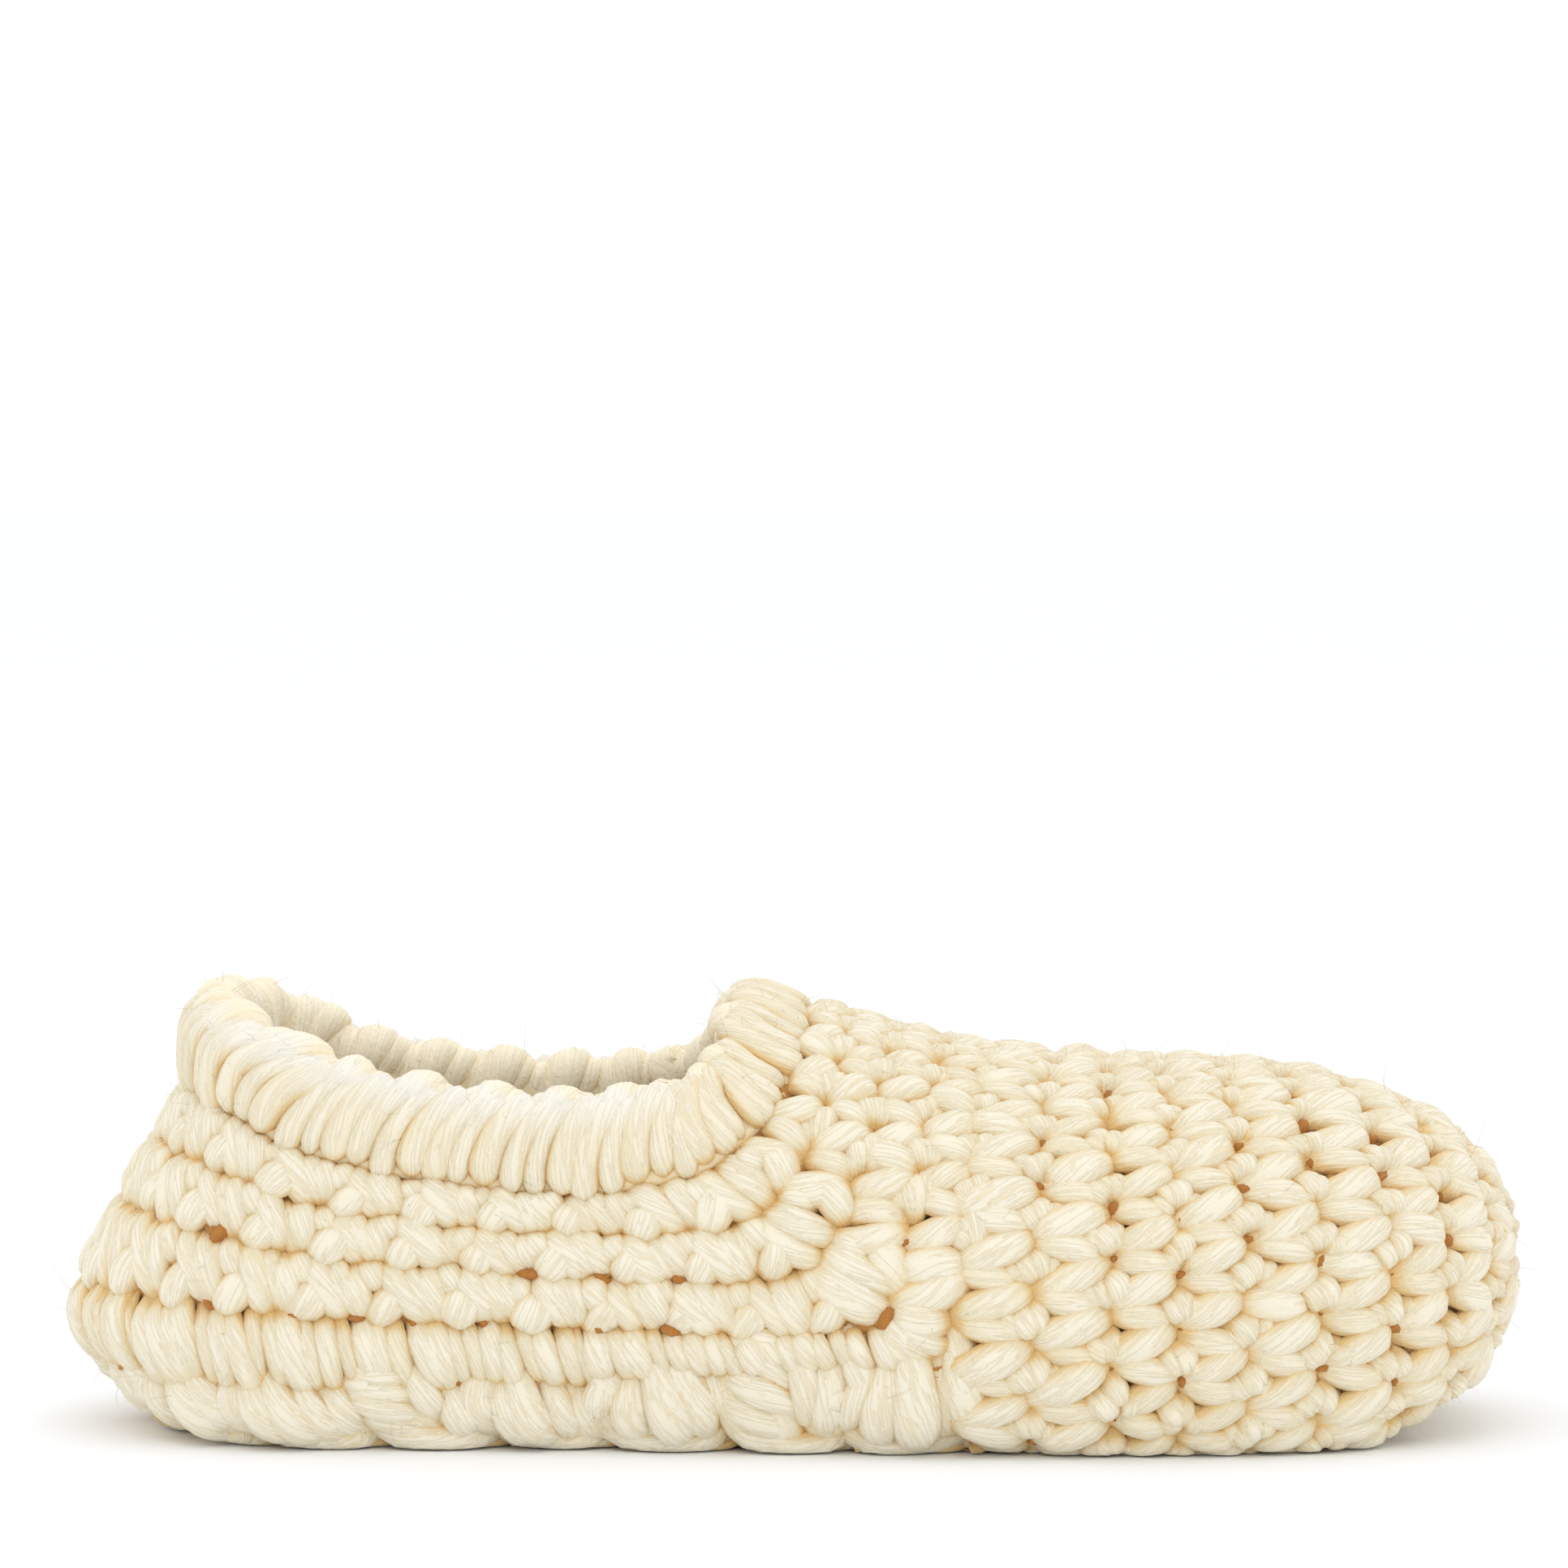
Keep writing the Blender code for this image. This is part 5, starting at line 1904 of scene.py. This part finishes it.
def rim_row():
    """The edge of the foot opening, with the direction square to the last."""
    stations = opening_stations()
    half = []
    for along, around, _, _ in stations:
        behind = last_point(max(along - NORMAL_STEP, heel_end()), around)
        ahead = last_point(along + NORMAL_STEP, around) - behind
        low = last_point(along, max(around - AROUND_STEP, -1.0))
        up = last_point(along, min(around + AROUND_STEP, 1.0)) - low
        way = np.cross(up, ahead)
        if len(half) in (0, len(stations) - 1):
            way[Y_AXIS] = 0.0
        half.append((last_point(along, around), way / np.linalg.norm(way)))
    return whole_row(half)


RIM = rim_row()
print("length of the rim", round(RIM.length), "mm")

# %% [markdown]
# The roll stands on the wall. It is lower over the instep, and upright at the heel. A curve with a round
# bevel would give the roll alone. The wraps need places on its skin, so a small class gives them by the
# distance along the rim, the turn round the roll and the depth.

# %% Shape of the collar roll
ROLL_THICKNESS = 13.4
ROLL_HEIGHT = 17.6
THROAT_ROLL_HEIGHT = 15.4
THROAT_SINK = 1.6
HEEL_UPRIGHT = 0.85
HEEL_TAB_LENGTH = 14.0
LOW_ROUNDING = 0.3
ROLL_OVERHANG = 0.6
TANGENT_STEP = 2.0
UPWARD = np.array((0.0, 0.0, 1.0))


class Roll:
    """The collar roll: places on its skin by distance along the rim and turn round the roll."""

    def __init__(self, rim):
        self.rim = rim

    def ways(self, distance, xs, normal):
        """The directions out of the roll and up it. At the heel it is upright."""
        ahead = self.rim.at(distance + TANGENT_STEP)[0] - self.rim.at(distance - TANGENT_STEP)[0]
        tangent = unit(ahead)
        wall_way = unit(np.cross(normal, tangent))
        heel = np.array([HEEL_UPRIGHT * ease((HEEL_CENTRE_X - x) / HEEL_TAB_LENGTH) for x in xs])
        rise = unit(wall_way * (1.0 - heel[:, None]) + UPWARD * heel[:, None])
        return np.cross(tangent, rise), rise

    def at(self, distance, turn, depth):
        """Points at a depth under the skin, and the directions out there."""
        point, normal = self.rim.at(distance)
        xs = point[:, X_AXIS]
        out_way, rise = self.ways(distance, xs, normal)
        corner = RIM_ALONG[-1]
        throat = np.array([ease((x - corner) / (THROAT_ALONG[-1] - corner)) for x in xs])
        half_height = (ROLL_HEIGHT + (THROAT_ROLL_HEIGHT - ROLL_HEIGHT) * throat) / 2.0
        half_thickness = ROLL_THICKNESS / 2.0
        foot = point - normal * (WALL / 2.0 + THROAT_SINK * throat)[:, None]
        low = np.sin(turn) < 0.0
        side = np.sign(np.cos(turn)) * np.abs(np.cos(turn)) ** np.where(low, LOW_ROUNDING, 1.0)
        drop = np.where(low, half_height + ROLL_OVERHANG, half_height - depth)
        outward = ((half_thickness - depth) * side)[:, None]
        upward = (half_height + drop * np.sin(turn))[:, None]
        way = out_way * np.cos(turn)[:, None] + rise * np.sin(turn)[:, None]
        return foot + out_way * outward + rise * upward, unit(way)


ROLL = Roll(RIM)
print("the roll is", ROLL_HEIGHT, "mm high and", ROLL_THICKNESS, "mm thick")

# %% [markdown]
# The top of the roll is painted paler along the sides, a painted highlight where it catches the light. It
# could be painted on the mesh, but a formula with soft ends gives each point of a strand its share.

# %% Painted highlight on the top of the roll
HIGHLIGHT_HEEL_X = -106.0
HIGHLIGHT_THROAT_X = -14.0
HIGHLIGHT_FADE = 14.0
HIGHLIGHT_FROM = -0.1
HIGHLIGHT_TO = 1.6
HIGHLIGHT_RISE = 1.1
HIGHLIGHT_FALL = 0.7


def top_highlight(x, turn):
    """How much painted highlight the well lit top of the roll gets along the sides of the foot opening."""
    sides = ease((x - HIGHLIGHT_HEEL_X) / HIGHLIGHT_FADE) * ease((HIGHLIGHT_THROAT_X - x) / HIGHLIGHT_FADE)
    return sides * ease((turn - HIGHLIGHT_FROM) / HIGHLIGHT_RISE) * ease((HIGHLIGHT_TO - turn) / HIGHLIGHT_FALL)


print("the top is paler from", HIGHLIGHT_HEEL_X, "to", HIGHLIGHT_THROAT_X, "mm along the shoe")

# %% [markdown]
# Each wrap is one fat strand with two thinner ones beside it. They start under the roll, lean forward as
# they climb its outside, and sink at its top. A rope-like texture on a plain roll would leave its outline
# smooth, so every strand is real.

# %% Wraps of the collar
WRAPS = 26
WRAP_LEAN = 3.2
WRAP_LEAN_FROM = -0.6
WRAP_LEAN_POWER = 1.6
WRAP_FROM = -1.35
WRAP_TO = 1.5
WRAP_POINTS = 16
WRAP_SHORTER = 0.45
WRAP_DISORDER = 0.03
WRAP_TAPER = 0.5
WRAP_DIVE = 1.5
WRAP_CROWN = 1.1
WRAP_SHADE = 1.2
WRAP_END = 0.4
# Each strand of a wrap has a place in it, a half thickness, and how far it stands out.
WRAP_STRANDS = ((0.0, 3.0, 0.6), (0.37, 2.6, 0.2), (0.69, 2.2, -0.2))
TOP_SINK = 4.0
TOP_SINK_FROM = 0.9
TOP_SINK_OVER = 0.6
HEEL_SWELL = 0.4
PITCH = RIM.length / WRAPS


def wrap_strand(yarn, wrap, offset, thick, lift):
    """One strand of a wrap, on the outside of the roll."""
    lowest = WRAP_FROM + WRAP_SHORTER * DISORDER.rand()
    turn = np.linspace(lowest, WRAP_TO, WRAP_POINTS)
    lean = WRAP_LEAN * np.clip(turn - WRAP_LEAN_FROM, 0.0, None) ** WRAP_LEAN_POWER
    below = np.clip(lowest + WRAP_END - turn, 0.0, None) / WRAP_END
    taper = 1.0 - WRAP_TAPER * below**2
    over = np.array([ease((t - TOP_SINK_FROM) / TOP_SINK_OVER) for t in turn])
    sunk = WRAP_DIVE * below + TOP_SINK * over
    start = (wrap + offset + DISORDER.normal(0.0, WRAP_DISORDER)) * PITCH
    tab = ease((HEEL_CENTRE_X - HEEL_TAB_LENGTH - ROLL.rim.at(start)[0][X_AXIS]) / HEEL_TAB_LENGTH)
    thick = thick * (1.0 + HEEL_SWELL * tab + DISORDER.normal(0.0, THICK_DISORDER))
    leaning = lean * (1.0 + DISORDER.normal(0.0, WRAP_DISORDER))
    points, outward = ROLL.at(start + leaning, turn, thick - lift + sunk)
    # Painted highlight where the top of the roll is lit.
    painted_highlight = [top_highlight(point[X_AXIS], t) for point, t in zip(points, turn)]
    shade = thick - WRAP_CROWN + WRAP_SHADE * below
    yarn.strand(points, outward, thick * taper, shade, DISORDER.rand(), painted_highlight)


def make_wraps():
    """Every wrap, strand by strand."""
    yarn = Yarn()
    for wrap in range(WRAPS):
        for strand in WRAP_STRANDS:
            wrap_strand(yarn, wrap, *strand)
    yarn_piece("collar_wraps", yarn, COLLAR_WOOL, "collar")


make_wraps()

# %% [markdown]
# On top of the roll and down its inside, four strands a wrap make round lobes, like beads. The strands of
# the wraps could simply go on, but the lobes are fatter and rounder than they are, so they have a chart
# of their own.

# %% Beads of the collar
# Each row has a turn round the roll, a lean along it, a depth and a half thickness.
BEAD = (
    (0.45, 3.4, 5.8, 2.0),
    (0.80, 5.4, 4.0, 3.6),
    (1.25, 7.6, 3.4, 4.6),
    (1.75, 9.2, 3.2, 5.0),
    (2.25, 10.4, 3.4, 4.7),
    (2.75, 11.4, 4.0, 3.8),
    (3.40, 12.2, 4.2, 3.4),
    (4.20, 13.0, 4.6, 3.2),
)
BEAD_POINTS = 24
BEAD_LOOK = {"Sides": 12}
# Each strand of a bead has a place in its wrap, a share of the thickness, and how far it is sunk.
BEADS = ((0.08, 0.62, -0.1), (0.33, 0.70, -1.1), (0.58, 0.62, -0.1), (0.83, 0.7, 1.4))


def make_beads():
    """The round lobes that the wraps make on top of the roll and down its inside."""
    yarn = Yarn()
    turn, lean, depth, thick = drawn_out(BEAD, BEAD_POINTS).T
    for wrap in range(WRAPS):
        for offset, share, sunk in BEADS:
            start = (wrap + offset + DISORDER.normal(0.0, WRAP_DISORDER)) * PITCH
            swell = share * (1.0 + DISORDER.normal(0.0, THICK_DISORDER))
            points, outward = ROLL.at(start + lean, turn, depth + sunk)
            # Painted highlight where the top of the roll is lit.
            painted_highlight = [top_highlight(point[X_AXIS], t) for point, t in zip(points, turn)]
            shade = share * thick - WRAP_CROWN
            yarn.strand(points, outward, thick * swell, shade, DISORDER.rand(), painted_highlight)
    yarn_piece("collar_beads", yarn, BEAD_WOOL, "collar", BEAD_LOOK)


make_beads()

# %% [markdown]
# ## Padding behind the stitches
#
# A crocheted wall is full of yarn, so nobody can see through it. Behind the strands of the upper and of
# the sole lies a copy of the solid, drawn in a few millimetres along its own normals, in the warm colour
# of the wool's shadows. A Solidify modifier could draw it in too, but would make a second skin.

# %% Padding of the upper and the sole
PADDING_INSET = 2.9
PADDING_COLOUR = (0.80, 0.62, 0.37, 1.0)
# A lighter painted shade, for the padding of the sole and of the collar roll.
ROLL_COLOUR = (0.86, 0.74, 0.51, 1.0)
# Corners of the solid that are this near, in metres, become one.
MERGE_DISTANCE = 0.00002


def finish_padding(mesh, node, wool):
    """Hands padding to the node that it fills."""
    mesh.materials.append(wool)
    mesh.shade_smooth()
    give(add_object(node + "_padding", mesh), node)
    print(mesh.name, len(mesh.polygons), "faces")


def make_padding(node, wool):
    """A copy of a solid, drawn in along its normals."""
    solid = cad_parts[node]
    work = bmesh.new()
    work.from_mesh(solid.data)
    bmesh.ops.remove_doubles(work, verts=work.verts, dist=MERGE_DISTANCE)
    bmesh.ops.recalc_face_normals(work, faces=work.faces)
    work.normal_update()
    for vertex in work.verts:
        vertex.co -= vertex.normal * PADDING_INSET * MM
    mesh = bpy.data.meshes.new(node + "_padding")
    work.to_mesh(mesh)
    work.free()
    finish_padding(mesh, node, wool)


PADDING_WOOL = plain_material("padding_wool", PADDING_COLOUR)
ROLL_WOOL = plain_material("roll_padding_wool", ROLL_COLOUR)
make_padding("upper", PADDING_WOOL)
make_padding("sole", ROLL_WOOL)

# %% [markdown]
# The collar gets a core of rings instead. A copy of its solid could be drawn in as well, but the rings
# come from the same function that places the wraps, so the two always fit.

# %% Padding of the collar roll
ROLL_PADDING = 2.8
ROLL_SIDES = 24
ROLL_RINGS = 130


def make_roll_padding(wool):
    """The inside of the collar roll, under its wraps."""
    turns = np.linspace(0.0, FULL_TURN, ROLL_SIDES, endpoint=False)
    depths = np.full(ROLL_SIDES, ROLL_PADDING)
    rings = []
    for distance in np.linspace(0.0, ROLL.rim.length, ROLL_RINGS, endpoint=False):
        rings.append(ROLL.at(np.full(ROLL_SIDES, distance), turns, depths)[0] * MM)
    faces = []
    for i in range(ROLL_RINGS):
        for j in range(ROLL_SIDES):
            first = i * ROLL_SIDES
            second = (i + 1) % ROLL_RINGS * ROLL_SIDES
            ahead = (j + 1) % ROLL_SIDES
            faces.append((first + j, second + j, second + ahead, first + ahead))
    mesh = bpy.data.meshes.new("collar_padding")
    mesh.from_pydata(np.vstack(rings).tolist(), [], faces)
    finish_padding(mesh, "collar", wool)


make_roll_padding(ROLL_WOOL)

# %% [markdown]
# ## Fuzz
#
# Loose fibres stand off the yarn everywhere and soften its outline. A hair system would make them too, but
# it would not go along when the shoe is exported. So each one is a thin curved tube, swept by the same
# tree as the strands, and starts at a place picked with a fixed seed from the dressed pieces.

# %% Loose fibres
HAIR_POINTS = 4
HAIR_THICK = 0.045
HAIR_SHORT = 1.2
HAIR_LONG = 2.6
HAIR_SINK = 0.3
HAIR_LEAN = 0.7
HAIR_CURL = 0.5
HAIR_TAPER = 0.6
HAIR_LOOK = {"Sides": 3, "Flatness": 1.0, "Ply Depth": 0.0}
UPPER_HAIRS = 4200
SOLE_HAIRS = 1300
COLLAR_HAIRS = 1800
UPPER_SOURCES = ("toe_cup_stitches", "toe_cup_fans", "opening_round_stitches", "leg_round_stitches")
SOLE_SOURCES = ("sole_edge_strands",)
COLLAR_SOURCES = ("collar_wraps", "collar_beads")


def skin_samples(names, count):
    """Random points on pieces, and the normals there, in millimetres."""
    places = []
    normals = []
    for name in names:
        mesh = bpy.data.objects[name].data
        places.append(vectors(mesh.vertices, "co") / MM)
        normals.append(vectors(mesh.vertex_normals, "vector"))
    places = np.vstack(places)
    normals = np.vstack(normals)
    picked = DISORDER.choice(len(places), count, replace=False)
    return places[picked], normals[picked]


def make_fuzz(name, sources, count, wool, node):
    """Short curved hairs on the skin of some pieces."""
    yarn = Yarn()
    steps = np.linspace(0.0, 1.0, HAIR_POINTS)[:, None]
    for place, normal in zip(*skin_samples(sources, count)):
        lean = DISORDER.normal(0.0, HAIR_LEAN, 3)
        curl = DISORDER.normal(0.0, HAIR_CURL, 3)
        length = HAIR_SHORT + (HAIR_LONG - HAIR_SHORT) * DISORDER.rand() ** 2
        points = place - normal * HAIR_SINK + length * (steps * (normal + lean) + steps**2 * curl)
        points[:, Z_AXIS] = np.maximum(points[:, Z_AXIS], HAIR_THICK)
        outward = np.tile(np.roll(normal, 1), (HAIR_POINTS, 1))
        thick = HAIR_THICK * (1.0 - HAIR_TAPER * steps[:, 0])
        yarn.strand(points, outward, thick, np.zeros(HAIR_POINTS), DISORDER.rand())
    yarn_piece(name, yarn, wool, node, HAIR_LOOK)


make_fuzz("upper_fuzz", UPPER_SOURCES, UPPER_HAIRS, UPPER_WOOL, "upper")
make_fuzz("sole_fuzz", SOLE_SOURCES, SOLE_HAIRS, SOLE_WOOL, "sole")
make_fuzz("collar_fuzz", COLLAR_SOURCES, COLLAR_HAIRS, COLLAR_WOOL, "collar")
